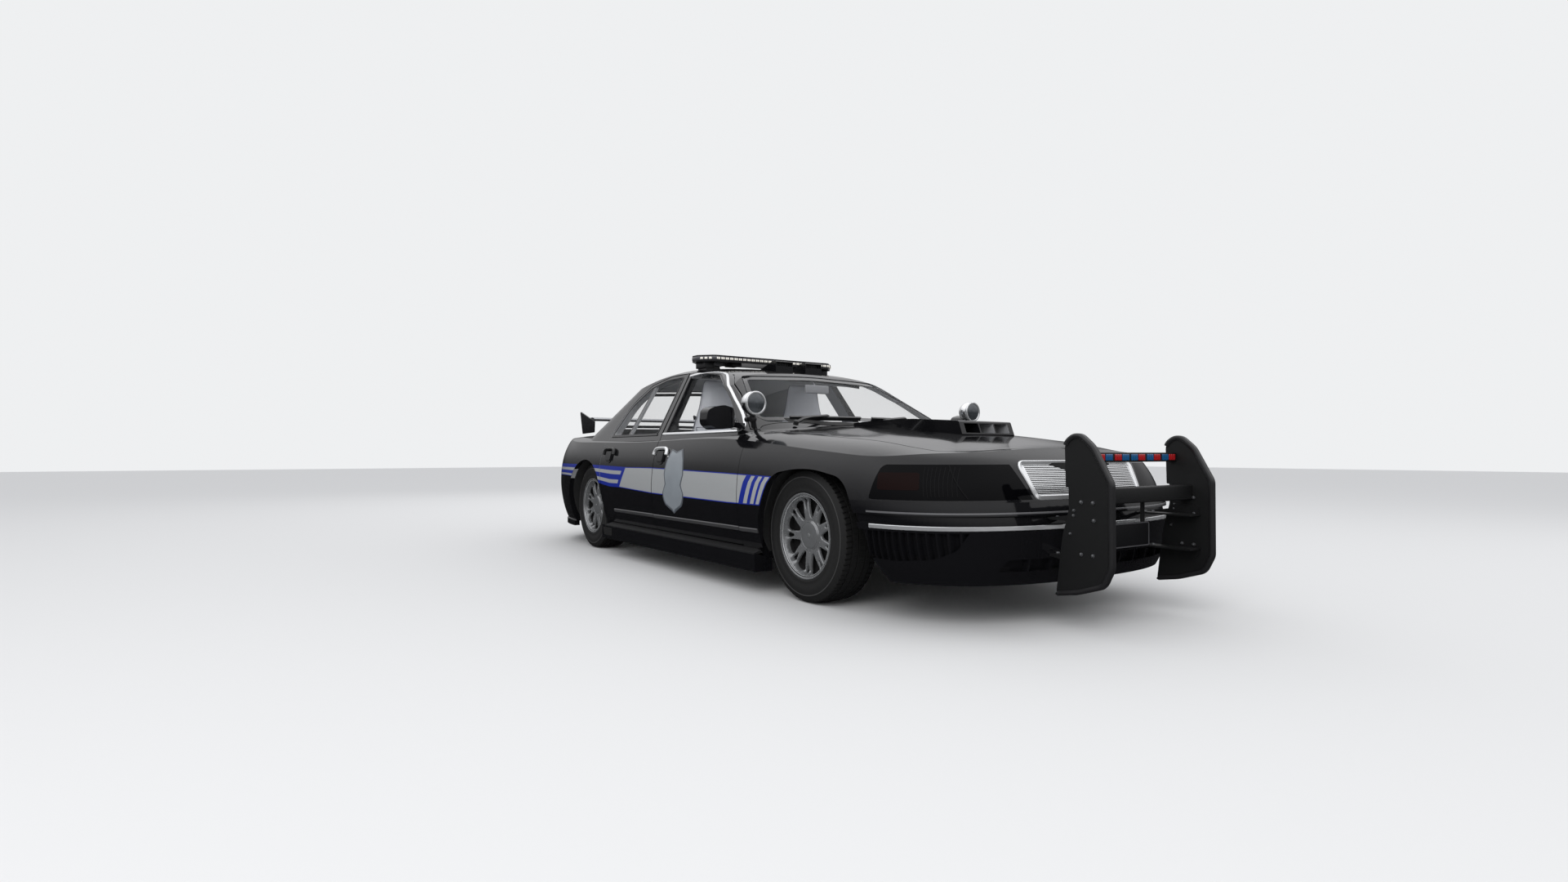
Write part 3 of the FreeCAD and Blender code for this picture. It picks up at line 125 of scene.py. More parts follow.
def shell_paint():
    """Dark gloss paint outside; the faces that look into the cabin get the grey of its lining."""
    made = material("body_paint", (0.006, 0.006, 0.007), 0.11, coat=0.3, spread=0.03, scale=18, specular=0.24)
    tree = made.node_tree
    color = tree.nodes["Principled BSDF"].inputs["Base Color"]
    where = node(tree, "TexCoord")
    place = node(tree, "VectorMath", {0: where.outputs["Object"], 1: CABIN_MIDDLE}, operation="SUBTRACT")
    facing = node(tree, "VectorMath", {0: where.outputs["Normal"], 1: (0.25, 1.0, 1.0)}, operation="MULTIPLY")
    dot = node(tree, "VectorMath", {0: place.outputs["Vector"], 1: facing.outputs["Vector"]},
               operation="DOT_PRODUCT")
    inward = node(tree, "Math", {0: dot.outputs["Value"], 1: -0.05}, operation="LESS_THAN")
    split = node(tree, "SeparateXYZ", {"Vector": where.outputs["Object"]})
    high = node(tree, "Math", {0: split.outputs["Z"], 1: LINING_Z}, operation="GREATER_THAN")
    both = node(tree, "Math", {0: inward.outputs["Value"], 1: high.outputs["Value"]}, operation="MULTIPLY")
    mix = node(tree, "Mix", {"Factor": both.outputs["Value"], "A": color.links[0].from_socket,
                             "B": (0.36, 0.365, 0.375, 1)}, data_type="RGBA")
    tree.links.new(mix.outputs["Result"], color)
    return made


paint = shell_paint()
trim_gloss = material("gloss_trim", (0.006, 0.006, 0.007), 0.14, coat=0.25, spread=0.04, specular=0.35)
satin = material("satin_black", (0.016, 0.016, 0.017), 0.42, spread=0.06, bump=0.05)
rubber = material("tyre_rubber", (0.014, 0.014, 0.014), 0.62, spread=0.1, scale=60, bump=0.25, bump_scale=900,
                  specular=0.35)
tyre_line = material("tyre_line", (0.05, 0.05, 0.05), 0.5, specular=0.4)
trim_bright = material("bright_trim", (0.80, 0.81, 0.82), 0.24, metal=0.72, spread=0.05, shade=0.03, coat=0.4)
chrome = material("bright_chrome", (0.86, 0.87, 0.88), 0.07, metal=1.0, spread=0.03, shade=0.02)
silver = material("wheel_silver", (0.24, 0.245, 0.25), 0.26, metal=0.5, spread=0.06, coat=0.3, shade=0.03)
cap_grey = material("cap_grey", (0.20, 0.205, 0.21), 0.35, metal=0.5, spread=0.05)
steel = material("dark_steel", (0.05, 0.05, 0.052), 0.5, metal=0.7, spread=0.12, scale=25, bump=0.1)
rotor = material("brake_steel", (0.32, 0.32, 0.33), 0.34, metal=0.9, spread=0.1, stretch=(8, 1, 8))
dark = material("deep_black", (0.004, 0.004, 0.004), 0.75, spread=0.1, bump=0.1)
underbody = material("underbody_black", (0.02, 0.02, 0.02), 0.8, spread=0.1, scale=30, bump=0.4,
                     bump_scale=200)
iron = material("cast_grey", (0.09, 0.09, 0.095), 0.62, metal=0.4, spread=0.12, scale=50, bump=0.5,
                bump_scale=250)
bar_black = material("bar_black", (0.009, 0.0092, 0.0095), 0.5, spread=0.07, scale=70, bump=0.3,
                     bump_scale=700, specular=0.35)
edging = material("rubber_edging", (0.014, 0.014, 0.015), 0.4, spread=0.06, bump=0.08)
bolt = material("zinc_bolt", (0.22, 0.225, 0.235), 0.32, metal=0.8, spread=0.08)
window = material("window_glass", (0.03, 0.034, 0.036), 0.04, spread=0.01, alpha=0.025, specular=0.4)
smoke = material("smoked_lens", (0.0015, 0.0015, 0.002), 0.07, spread=0.02, specular=0.07)
marker = material("marker_dark_red", (0.0065, 0.0017, 0.0015), 0.2, spread=0.04, specular=0.07)
flute = material("lamp_flute", (0.0035, 0.0035, 0.004), 0.2, spread=0.04, specular=0.09)
red_lens = material("red_lens", (0.42, 0.012, 0.014), 0.13, coat=0.8, spread=0.03,
                    emission=(0.8, 0.02, 0.02, 0.12))
tail_dark = material("tail_dark", (0.05, 0.004, 0.005), 0.15, coat=0.8, spread=0.03)
clear_lens = material("clear_lens", (0.50, 0.52, 0.54), 0.12, coat=0.6, spread=0.04, bump=0.3, bump_scale=120)
mirror_glass = material("mirror_glass", (0.75, 0.77, 0.79), 0.03, metal=1.0, spread=0.01)
led_red = material("led_red", (0.26, 0.006, 0.008), 0.2, coat=0.7, spread=0.04,
                   emission=(1.0, 0.02, 0.02, 0.06))
led_blue = material("led_blue", (0.006, 0.06, 0.16), 0.2, coat=0.7, spread=0.04,
                    emission=(0.02, 0.25, 0.6, 0.06))
led_white = material("led_white", (0.78, 0.76, 0.70), 0.2, coat=0.7, spread=0.04,
                     emission=(1.0, 0.95, 0.85, 0.25))
band_white = material("band_white", (0.34, 0.35, 0.355), 0.35, coat=0.3, spread=0.04, shade=0.03)
band_blue = material("band_blue", (0.003, 0.018, 0.26), 0.38, coat=0.15, spread=0.04, specular=0.3,
                     shade=0.03)
shield_grey = material("shield_grey", (0.085, 0.095, 0.11), 0.35, coat=0.3, spread=0.05)
shield_pale = material("shield_pale", (0.24, 0.265, 0.29), 0.35, coat=0.3, spread=0.05, scale=9, shade=0.18)
cloth = material("seat_cloth", (0.74, 0.77, 0.84), 0.78, spread=0.08, scale=500, bump=0.5, bump_scale=1500,
                 sheen=0.3, shade=0.1)
cloth_side = material("seat_side", (0.82, 0.84, 0.89), 0.5, spread=0.06, scale=300, bump=0.35, bump_scale=900,
                      sheen=0.1)
seam = material("seat_seam", (0.22, 0.23, 0.27), 0.8)
trim_grey = material("trim_grey", (0.28, 0.285, 0.30), 0.7, spread=0.08, scale=200, bump=0.4, bump_scale=1200)
liner_grey = material("headliner", (0.40, 0.405, 0.415), 0.9, spread=0.05, scale=300, bump=0.5,
                      bump_scale=1600)
dash_black = material("dash_grain", (0.03, 0.03, 0.033), 0.62, spread=0.06, scale=150, bump=0.5,
                      bump_scale=1100)
wheel_grip = material("steering_grip", (0.36, 0.37, 0.39), 0.5, spread=0.06, bump=0.3, bump_scale=900)
plate_dark = material("blank_plate", (0.006, 0.006, 0.007), 0.5, spread=0.05, specular=0.2)
moulding = material("side_moulding", (0.05, 0.05, 0.052), 0.32, coat=0.3, spread=0.05)
# Grey for the edge of the black bumper's ledge: a painted highlight where the ledge catches light.
ledge_painted_highlight = material("ledge_painted_highlight", (0.10, 0.10, 0.105), 0.3, coat=0.5, spread=0.05)
bar_lens = material("bar_lens", (0.10, 0.10, 0.11), 0.12, coat=0.8, spread=0.03, metal=0.3)
mount_grey = material("mount_grey", (0.09, 0.09, 0.095), 0.5, metal=0.4, spread=0.06)
spot_glass = material("spot_glass", (0.10, 0.11, 0.12), 0.08, metal=0.6, coat=1.0, spread=0.04, scale=14,
                      shade=0.6)
plate_edge = material("plate_edge", (0.07, 0.07, 0.075), 0.35, spread=0.05)
foil_grey = material("foil_grey", (0.28, 0.29, 0.31), 0.25, metal=0.7, coat=0.4, spread=0.06)



def sides(*names):
    """Node names of both sides."""
    return tuple(name + side for name in names for side in ("_right", "_left"))


looks = {
    paint: ("body_frame", "roof_panel", "fenders", "hood", "front_bumper", "rear_bumper", "quarter_panels",
            "boot_lid", "side_skirts") + sides("front_door", "rear_door"),
    window: ("windshield", "rear_window") + sides("front_door_glass", "rear_door_glass"),
    underbody: ("floor_pan", "boot_floor", "front_structure"),
    steel: ("exhaust", "front_beam", "rear_beam", "front_suspension", "rear_axle") + sides("knuckle"),
    iron: ("engine_block",),
    trim_gloss: ("roof_vents", "rear_wing", "light_bar") + sides("mirror"),
    bar_black: ("push_bar",),
    satin: ("push_bar_lights",),
    trim_bright: ("grille",),
    chrome: ("spotlights",),
    smoke: ("headlamps",),
    red_lens: ("tail_lamps",),
    cloth: ("front_seats", "rear_seat"),
    dash_black: ("dashboard",),
    wheel_grip: ("steering_wheel",),
    rubber: sides("tyre_front", "tyre_rear"),
    silver: sides("rim_front", "rim_rear"),
}
for look, names in looks.items():
    for name in names:
        nodes[name].data.materials.clear()
        nodes[name].data.materials.append(look)


# Builders
class Build:
    """Gathers vertices (metres) and faces with a material index each."""

    def __init__(self):
        self.verts = []
        self.faces = []
        self.marks = []

    def add(self, verts, faces, mark=0):
        start = len(self.verts)
        self.verts += [Vector(v) for v in verts]
        self.faces += [[start + i for i in face] for face in faces]
        self.marks += [mark] * len(faces)

    def turned(self, matrix):
        made = Build()
        made.verts = [matrix @ v for v in self.verts]
        made.faces = [list(face) for face in self.faces]
        made.marks = list(self.marks)
        return made

    def flipped(self):
        made = Build()
        made.verts = [Vector((v.x, -v.y, v.z)) for v in self.verts]
        made.faces = [list(reversed(face)) for face in self.faces]
        made.marks = list(self.marks)
        return made

    def piece(self, name, materials, slot, body="root", sharp=35.0):
        data = bpy.data.meshes.new(name)
        data.from_pydata(self.verts, [], self.faces)
        for look in materials:
            data.materials.append(look)
        data.polygons.foreach_set("material_index", self.marks)
        work = bmesh.new()
        work.from_mesh(data)
        bmesh.ops.remove_doubles(work, verts=work.verts, dist=1e-6)
        bmesh.ops.recalc_face_normals(work, faces=work.faces)
        work.to_mesh(data)
        work.free()
        data.polygons.foreach_set("use_smooth", [True] * len(data.polygons))
        data.set_sharp_from_angle(angle=math.radians(sharp))
        made = bpy.data.objects.new(name, data)
        bpy.context.scene.collection.objects.link(made)
        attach(made, body)
        return made


def pair(build, name, materials, slot, bodies=ROOT):
    """The right-hand piece and its mirror image on the left."""
    build.piece(name + "_right", materials, slot, bodies[0])
    build.flipped().piece(name + "_left", materials, slot, bodies[1])


def box(build, x0, x1, y0, y1, z0, z1, mark=0):
    corners = [at(x, y, z) for x in (x0, x1) for y in (y0, y1) for z in (z0, z1)]
    build.add(corners, [(0, 1, 3, 2), (4, 6, 7, 5), (0, 4, 5, 1), (2, 3, 7, 6), (0, 2, 6, 4), (1, 5, 7, 3)],
              mark)


def soft_box(build, x0, x1, y0, y1, z0, z1, r, mark=0):
    """Box with bevelled edges."""
    work = bmesh.new()
    bmesh.ops.create_cube(work, size=1.0)
    for v in work.verts:
        v.co = at(x0 + (v.co.x + 0.5) * (x1 - x0), y0 + (v.co.y + 0.5) * (y1 - y0),
                  z0 + (v.co.z + 0.5) * (z1 - z0))
    bmesh.ops.bevel(work, geom=list(work.edges), offset=r / 1000, segments=3, profile=0.5, affect="EDGES")
    work.verts.index_update()
    build.add([v.co.copy() for v in work.verts], [[v.index for v in f.verts] for f in work.faces], mark)
    work.free()


def ring_faces(rows, count, closed_rows=False, cap=True):
    """Faces between rows of count points each."""
    faces = []
    steps = rows if closed_rows else rows - 1
    for i in range(steps):
        a = i * count
        b = ((i + 1) % rows) * count
        for j in range(count):
            k = (j + 1) % count
            faces.append((a + j, a + k, b + k, b + j))
    if cap and not closed_rows:
        faces.append(tuple(range(count - 1, -1, -1)))
        faces.append(tuple((rows - 1) * count + j for j in range(count)))
    return faces


def sweep(build, path, normals, profile, mark=0, closed=False):
    """Profile (across, out) in metres carried along path; out follows normals."""
    rows = len(path)
    verts = []
    for i, p in enumerate(path):
        if closed:
            tangent = path[(i + 1) % rows] - path[i - 1]
        else:
            tangent = path[min(i + 1, rows - 1)] - path[max(i - 1, 0)]
        tangent.normalize()
        out = normals[i] - tangent * normals[i].dot(tangent)
        out.normalize()
        across = tangent.cross(out)
        verts += [p + across * a + out * b for a, b in profile]
    build.add(verts, ring_faces(rows, len(profile), closed), mark)


def circle(radius, count=12):
    return [(radius * math.cos(2 * math.pi * i / count), radius * math.sin(2 * math.pi * i / count))
            for i in range(count)]


def rod(build, points, radius, mark=0, count=12, closed=False):
    """Round bar through points in millimetres."""
    path = [at(*p) for p in points]
    up = Vector((0, 0, 1))
    normals = []
    for i in range(len(path)):
        tangent = (path[min(i + 1, len(path) - 1)] - path[max(i - 1, 0)]).normalized()
        side = up if abs(tangent.z) < 0.9 else Vector((0, 1, 0))
        normals.append(side)
    sweep(build, path, normals, circle(radius / 1000, count), mark, closed)


def lathe(build, points, centre, axis, steps=32, mark=0, closed=True):
    """Ring from (along, radius) points in millimetres about an axis through centre."""
    axis = Vector(axis).normalized()
    side = axis.orthogonal().normalized()
    other = axis.cross(side)
    middle = at(*centre)
    verts = []
    for i in range(steps):
        angle = 2 * math.pi * i / steps
        out = side * math.cos(angle) + other * math.sin(angle)
        verts += [middle + axis * (a / 1000) + out * (r / 1000) for a, r in points]
    count = len(points)
    faces = []
    for i in range(steps):
        a = i * count
        b = ((i + 1) % steps) * count
        for j in range(count if closed else count - 1):
            k = (j + 1) % count
            faces.append((a + j, b + j, b + k, a + k))
    build.add(verts, faces, mark)


def prism(build, outline, start, end, mark=0):
    """Outline of 3-D points in millimetres pushed from start to end, both offsets."""
    count = len(outline)
    low = [at(p[0] + start[0], p[1] + start[1], p[2] + start[2]) for p in outline]
    high = [at(p[0] + end[0], p[1] + end[1], p[2] + end[2]) for p in outline]
    build.add(low + high, ring_faces(2, count), mark)


def smooth_points(points, per=6, closed=False):
    """Points on a smooth line through the given ones."""
    made = []
    n = len(points)
    spans = n if closed else n - 1
    for i in range(spans):
        if closed:
            p0, p1, p2, p3 = (Vector(points[(i + k) % n]) for k in (-1, 0, 1, 2))
        else:
            p0, p1, p2, p3 = (Vector(points[min(max(i + k, 0), n - 1)]) for k in (-1, 0, 1, 2))
        for s in range(per):
            t = s / per
            made.append(0.5 * ((2 * p1) + (p2 - p0) * t + (2 * p0 - 5 * p1 + 4 * p2 - p3) * t * t
                               + (3 * p1 - p0 - 3 * p2 + p3) * t ** 3))
    if not closed:
        made.append(Vector(points[-1]))
    return made


# Surfaces of the CAD panels
trees = {}


def surface(*names):
    key = tuple(names)
    if key not in trees:
        verts = []
        faces = []
        for name in names:
            start = len(verts)
            data = nodes[name].data
            verts += [v.co.copy() for v in data.vertices]
            faces += [[start + i for i in f.vertices] for f in data.polygons]
        trees[key] = BVHTree.FromPolygons(verts, faces)
    return trees[key]


def line_at(points, x):
    """Height at x on a broken line whose points run from front to back."""
    for (xa, za), (xb, zb) in zip(points, points[1:]):
        if x >= xb:
            break
    return za + (zb - za) * (x - xa) / (xb - xa)


# Floor, light, camera
FLOOR_HALF = 40.0
FOCAL_PIXELS = 987.0
IMAGE_PIXELS = 1920.0
SENSOR = 36.0
EYE = (3314.0, -3279.0, 755.0)
YAW = math.radians(145.81)
PITCH = math.radians(0.88)
LAMPS = (                      # name, place, aim, size, power
    ("key_lamp", (6.5, -6.5, 5.5), (0, 0, 0.5), 6.0, 260.0),
    ("fill_lamp", (7.0, 6.0, 5.0), (0, 0, 0.5), 6.0, 90.0),
    ("back_lamp", (-8.0, 2.0, 6.5), (0, 0, 0.5), 6.0, 110.0),
    ("top_lamp", (0.0, 0.0, 9.0), (0, 0, 0), 8.0, 70.0),
)


def stage_scene():
    data = bpy.data.meshes.new("floor")
    r = FLOOR_HALF
    data.from_pydata([(-r, -r, 0), (r, -r, 0), (r, r, 0), (-r, r, 0)], [], [(0, 1, 2, 3)])
    floor = bpy.data.objects.new("floor", data)
    bpy.context.scene.collection.objects.link(floor)
    look = bpy.data.materials.new("floor_pale")
    look.use_nodes = True
    shader = look.node_tree.nodes["Principled BSDF"]
    shader.inputs["Base Color"].default_value = (0.80, 0.80, 0.80, 1)
    shader.inputs["Roughness"].default_value = 0.9
    data.materials.append(look)
    world = bpy.data.worlds.new("studio")
    bpy.context.scene.world = world
    world.use_nodes = True
    tree = world.node_tree
    back = tree.nodes["Background"]
    back.inputs["Strength"].default_value = 1.0
    where = node(tree, "TexCoord")
    split = node(tree, "SeparateXYZ", {"Vector": where.outputs["Generated"]})
    sky = grey_ramp(tree, split.outputs["Z"], (0.015, 0.015, 0.016), (1.3, 1.3, 1.32))
    sky.color_ramp.elements[0].position = 0.02
    sky.color_ramp.elements[1].position = 0.7
    middle = sky.color_ramp.elements.new(0.2)
    middle.color = (0.5, 0.5, 0.51, 1)
    rays = node(tree, "LightPath")
    mirrored = node(tree, "Mix", {"Factor": rays.outputs["Is Glossy Ray"], "A": (0.72, 0.73, 0.75, 1),
                                  "B": sky.outputs["Color"]}, data_type="RGBA")
    seen = node(tree, "Mix", {"Factor": rays.outputs["Is Camera Ray"], "A": mirrored.outputs["Result"],
                              "B": (0.86, 0.87, 0.88, 1)}, data_type="RGBA")
    tree.links.new(seen.outputs["Result"], back.inputs["Color"])
    floor.visible_glossy = False
    for name, spot, aim, size, power in LAMPS:
        lamp = bpy.data.lights.new(name, "AREA")
        lamp.energy = power
        lamp.shape = "DISK"
        lamp.size = size
        holder = bpy.data.objects.new(name, lamp)
        holder.location = spot
        holder.rotation_mode = "QUATERNION"
        holder.rotation_quaternion = (Vector(aim) - Vector(spot)).to_track_quat("-Z", "Y")
        holder.visible_glossy = False
        bpy.context.scene.collection.objects.link(holder)
    data = bpy.data.cameras.new("photo_camera")
    data.sensor_width = SENSOR
    data.lens = FOCAL_PIXELS / IMAGE_PIXELS * SENSOR
    camera = bpy.data.objects.new("photo_camera", data)
    ahead = Vector((math.cos(YAW) * math.cos(PITCH), math.sin(YAW) * math.cos(PITCH), math.sin(PITCH)))
    camera.location = at(*EYE)
    camera.rotation_mode = "QUATERNION"
    camera.rotation_quaternion = ahead.to_track_quat("-Z", "Y")
    bpy.context.scene.collection.objects.link(camera)
    bpy.context.scene.camera = camera
    bpy.context.scene.view_settings.view_transform = "Standard"


# Wheels
TREAD_PITCHES = 74
SPOKES = 9
FRONT_TURN = 0.12
REAR_TURN = 0.5


def tyre_build():
    """Tyre about the origin axis; a is along the axis outward, r the radius, both in millimetres."""
    side = [(100, 208), (101.5, 216), (104.5, 222), (107, 227), (106.2, 233), (105.6, 240), (107.6, 252),
            (109.4, 263), (109.9, 272), (109.2, 284), (107.6, 295), (107.5, 297), (108.4, 298.5),
            (107.0, 300.5), (105.6, 303), (102.6, 312), (99.2, 320), (95.6, 326.5)]
    ribs = ((92, 64), (57, 27), (20, -20), (-27, -57), (-64, -92))

    def crown(a):
        return TYRE_R - 0.00075 * a * a

    points = [(a, r, "side") for a, r in side]
    points.append((94.0, 330.0, "edge"))
    for i, (hi, lo) in enumerate(ribs):
        kind = "shoulder" if i in (0, 4) else "rib"
        if i:
            points.append((hi + 1.5, crown(hi) - 7.5, "groove"))
        for k in range(4):
            a = hi + (lo - hi) * k / 3
            points.append((a, crown(a), kind))
        if i < 4:
            points.append((lo - 1.5, crown(lo) - 7.5, "groove"))
    points.append((-94.0, 330.0, "edge"))
    points += [(-a, r, "side") for a, r in reversed(side)]
    pitches = TREAD_PITCHES
    shares = (0.0, 0.62, 0.68, 0.94)
    build = Build()
    count = len(points)
    verts = []
    for i in range(pitches):
        for k, share in enumerate(shares):
            for a, r, kind in points:
                lag = 0.0
                drop = 0.0
                if kind in ("rib", "shoulder", "edge"):
                    lag = 0.00042 * abs(a)
                    cut = k in (2, 3)
                    if kind == "shoulder" and cut:
                        drop = 5.5
                    elif kind == "edge" and cut:
                        drop = 4.0
                    elif kind == "rib" and k == 2:
                        drop = 2.2
                angle = 2 * math.pi * (i + share) / pitches + lag
                verts.append(Vector((math.sin(angle) * (r - drop), -a, math.cos(angle) * (r - drop))) / 1000)
    steps = pitches * len(shares)
    faces = []
    marks = []
    for i in range(steps):
        a = i * count
        b = ((i + 1) % steps) * count
        for j in range(count):
            k = (j + 1) % count
            faces.append((a + j, a + k, b + k, b + j))
            marks.append(1 if j in (10, 11, 12) else 0)
    build.verts = verts
    build.faces = faces
    build.marks = marks
    return build


def wheel_build():
    """Wheel with its cover about the origin axis: forked spokes round a flat middle."""
    build = Build()
    origin = (-AXLE_X * 1000, 0, 0)
    axis = (0, -1, 0)
    rim = [(100.3, 208.3), (100.5, 214), (103.2, 218.3), (106, 217.8), (107, 214), (105.6, 209.5),
           (100, 205.5), (88, 203), (84, 199), (40, 190), (10, 181), (-20, 181), (-60, 190), (-84, 198),
           (-97, 205.5), (-106, 212), (-106.2, 217), (-103.4, 219), (-100.6, 215), (-100.3, 208.5),
           (-76, 202), (-55, 196), (-20, 187), (12, 187), (44, 196), (76, 203)]
    lathe(build, rim, origin, axis, 72, 0)
    lathe(build, [(46, 0.5), (46, 60), (37, 110), (41, 190), (34, 192), (28.5, 112), (34, 62), (34, 0.5)],
          origin, axis, 48, 2)

    def face(r):
        """How far out the cover stands at radius r."""
        if r < 68:
            return 76.0
        if r < 78:
            return 76.0 - 9.0 * (r - 68) / 10
        if r < 178:
            return 67.0 + 4.0 * math.sin(math.pi * (r - 78) / 100)
        if r < 199:
            return 67.0 + 25.0 * ((r - 178) / 21) ** 1.6
        return 92.0 + 9.0 * min(1.0, (r - 199) / 8)

    count = SPOKES
    holes = []
    big = [(92, 0.0), (97, 4.6), (110, 7.6), (130, 9.8), (150, 11.2), (168, 12.0), (182, 11.8), (190, 9.2),
           (193, 4.0), (193.5, 0.0)]
    small = [(140, 0.0), (146, 1.6), (160, 2.5), (176, 3.3), (188, 3.6), (192, 1.8), (192.5, 0.0)]
    for outline, turn in ((big, 0.0), (small, 180.0 / count)):
        half = outline[1:-1]
        full = outline + [(r, -a) for r, a in reversed(half)]
        for i in range(count):
            base = turn + 360.0 * i / count
            ring = []
            for p in smooth_points([(r * math.sin(math.radians(base + a)),
                                     r * math.cos(math.radians(base + a)), 0) for r, a in full], 3, True):
                ring.append((p.x, p.y))
            holes.append(ring)

    def grown(ring, gap):
        made = []
        n = len(ring)
        for i in range(n):
            ax, ay = ring[i - 1]
            bx, by = ring[(i + 1) % n]
            tx, ty = bx - ax, by - ay
            size = math.hypot(tx, ty)
            made.append((ring[i][0] - ty / size * gap, ring[i][1] + tx / size * gap))
        return made

    def area(ring):
        return sum(a[0] * b[1] - b[0] * a[1] for a, b in zip(ring, ring[1:] + ring[:1])) / 2

    points = []
    edges = []
    drops = []
    hole_faces = []
    for ring in holes:
        sign = 1.0 if area(ring) < 0 else -1.0
        for gap, drop in ((0.0, 7.0), (2.2, 2.4), (5.0, 0.6), (8.0, 0.0)):
            level = grown(ring, gap * sign) if gap else ring
            if gap == 8.0 and math.hypot(*ring[0]) > 130:
                continue
            start = len(points)
            points += level
            drops += [drop] * len(level)
            edges += [(start + k, start + (k + 1) % len(level)) for k in range(len(level))]
            if gap == 0.0:
                hole_faces.append(list(range(start, start + len(level))))
    for r, n in ((206.5, 144), (203.5, 144), (200.0, 144), (197.0, 144), (78.0, 72), (73.0, 72), (68.0, 72),
                 (66.5, 72), (40.0, 36)):
        start = len(points)
        points += [(r * math.sin(2 * math.pi * k / n), r * math.cos(2 * math.pi * k / n)) for k in range(n)]
        drops += [1.6 if 66.0 < r < 67.5 else 0.0] * n
        edges += [(start + k, start + (k + 1) % n) for k in range(n)]
    for r in (90.0, 102.0, 118.0, 134.0, 150.0, 166.0, 180.0, 189.0):
        n = 54
        for k in range(n):
            points.append((r * math.sin(2 * math.pi * (k + 0.5) / n),
                           r * math.cos(2 * math.pi * (k + 0.5) / n)))
            drops.append(0.0)
    flat = [Vector(p) for p in points]
    out_v, _, out_f, v_from, _, f_from = delaunay_2d_cdt(flat, edges, hole_faces, 0, 1e-4)
    verts = []
    for k, v in enumerate(out_v):
        r = v.length
        drop = max([drops[s] for s in v_from[k]] or [0.0])
        verts.append(Vector((v.x, -(face(r) - drop), v.y)) / 1000)
    top = [f for f, source in zip(out_f, f_from)
           if not source and max(out_v[i].length for i in f) <= 206.6]
    low = len(verts)
    back = [Vector((v.x, v.y + 0.009 if math.hypot(v.x, v.z) > 0.07 else v.y + 0.012, v.z)) for v in verts]
    count_edges = {}
    for f in top:
        for a, b in zip(f, list(f[1:]) + [f[0]]):
            count_edges[(a, b)] = count_edges.get((a, b), 0) + 1
    walls = []
    for (a, b) in count_edges:
        if (b, a) not in count_edges:
            walls.append((b, a, a + low, b + low))
    under = [tuple(i + low for i in reversed(f)) for f in top]
    build.add(verts + back, [tuple(f) for f in top] + under + walls)
    lathe(build, [(41, 188.8), (64, 193.3), (64, 195.6), (41, 191)], origin, axis, 72, 2)
    lathe(build, [(100, 199.5), (102.5, 201), (102.5, 204), (100, 205.5), (96, 204), (96, 200)], origin, axis,
          72, 4)
    lathe(build, [(76.5, 0.5), (77.2, 30), (76.8, 60), (75.8, 65.5), (74, 66), (74, 0.5)], origin, axis, 48,
          1)
    lathe(build, [(79.6, 0.5), (79.2, 8), (78.0, 12.5), (76, 13.5), (76, 0.5)], origin, axis, 24, 3)
    return build


def brake_build():
    build = Build()
    origin = (-AXLE_X * 1000, 0, 0)
    lathe(build, [(-20, 62), (-20, 146), (-6, 146), (-6, 90), (2, 86), (2, 62)], origin, (0, -1, 0), 48, 0)
    return build


def wheels():
    tyre = tyre_build()
    wheel = wheel_build()
    brake = brake_build()
    for place, x, turn in (("front", 0.0, FRONT_TURN), ("rear", REAR_X, REAR_TURN)):
        for side in ("right", "left"):
            body = place + "_wheel_" + side
            move = Matrix.Translation(at(x, -WHEEL_Y, TYRE_R)) @ Matrix.Rotation(turn, 4, "Y")
            for build, kind, mats, slot in (
                (tyre, "tyre", (rubber, tyre_line), "tyre_rubber"),
                (wheel, "rim", (silver, cap_grey, dark, silver, trim_bright), "wheel_metal"),
                (brake, "brake_disc", (rotor,), "wheel_metal"),
            ):
                made = build.turned(move)
                if side == "left":
                    made = made.flipped()
                obj = made.piece("%s_%s_%s_look" % (kind, place, side), mats, slot, body, 40.0)
                if kind in ("tyre", "rim"):
                    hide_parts("%s_%s_%s" % (kind, place, side))


# Shapes laid on the panels
def cast(tree, start, way):
    spot, normal = tree.ray_cast(start, way)[:2]
    if spot is None:
        return None
    if normal.dot(way) > 0:
        normal = -normal
    return spot, normal


def side_hit(tree, x, z):
    """Outer surface of the right side at (x, z)."""
    return cast(tree, at(x, -1600, z), Vector((0, 1, 0)))


def inner_hit(tree, x, z):
    """Right side seen from the middle of the cabin."""
    return cast(tree, at(x, 0, z), Vector((0, -1, 0)))


def front_hit(tree, y, z):
    return cast(tree, at(2500, y, z), Vector((-1, 0, 0)))


def back_hit(tree, y, z):
    return cast(tree, at(-6000, y, z), Vector((1, 0, 0)))


def top_hit(tree, x, y):
    return cast(tree, at(x, y, 2000), Vector((0, 0, -1)))


def under_hit(tree, x, y):
    return cast(tree, at(x, y, 1100), Vector((0, 0, 1)))


def round_hit(tree, centre_x, angle, z):
    """Outer surface at a height on a bearing from a centre on the middle line; 0 is ahead, 90 right."""
    way = Vector((math.cos(math.radians(angle)), -math.sin(math.radians(angle)), 0))
    return cast(tree, at(centre_x, 0, z) + way * 2.5, -way)


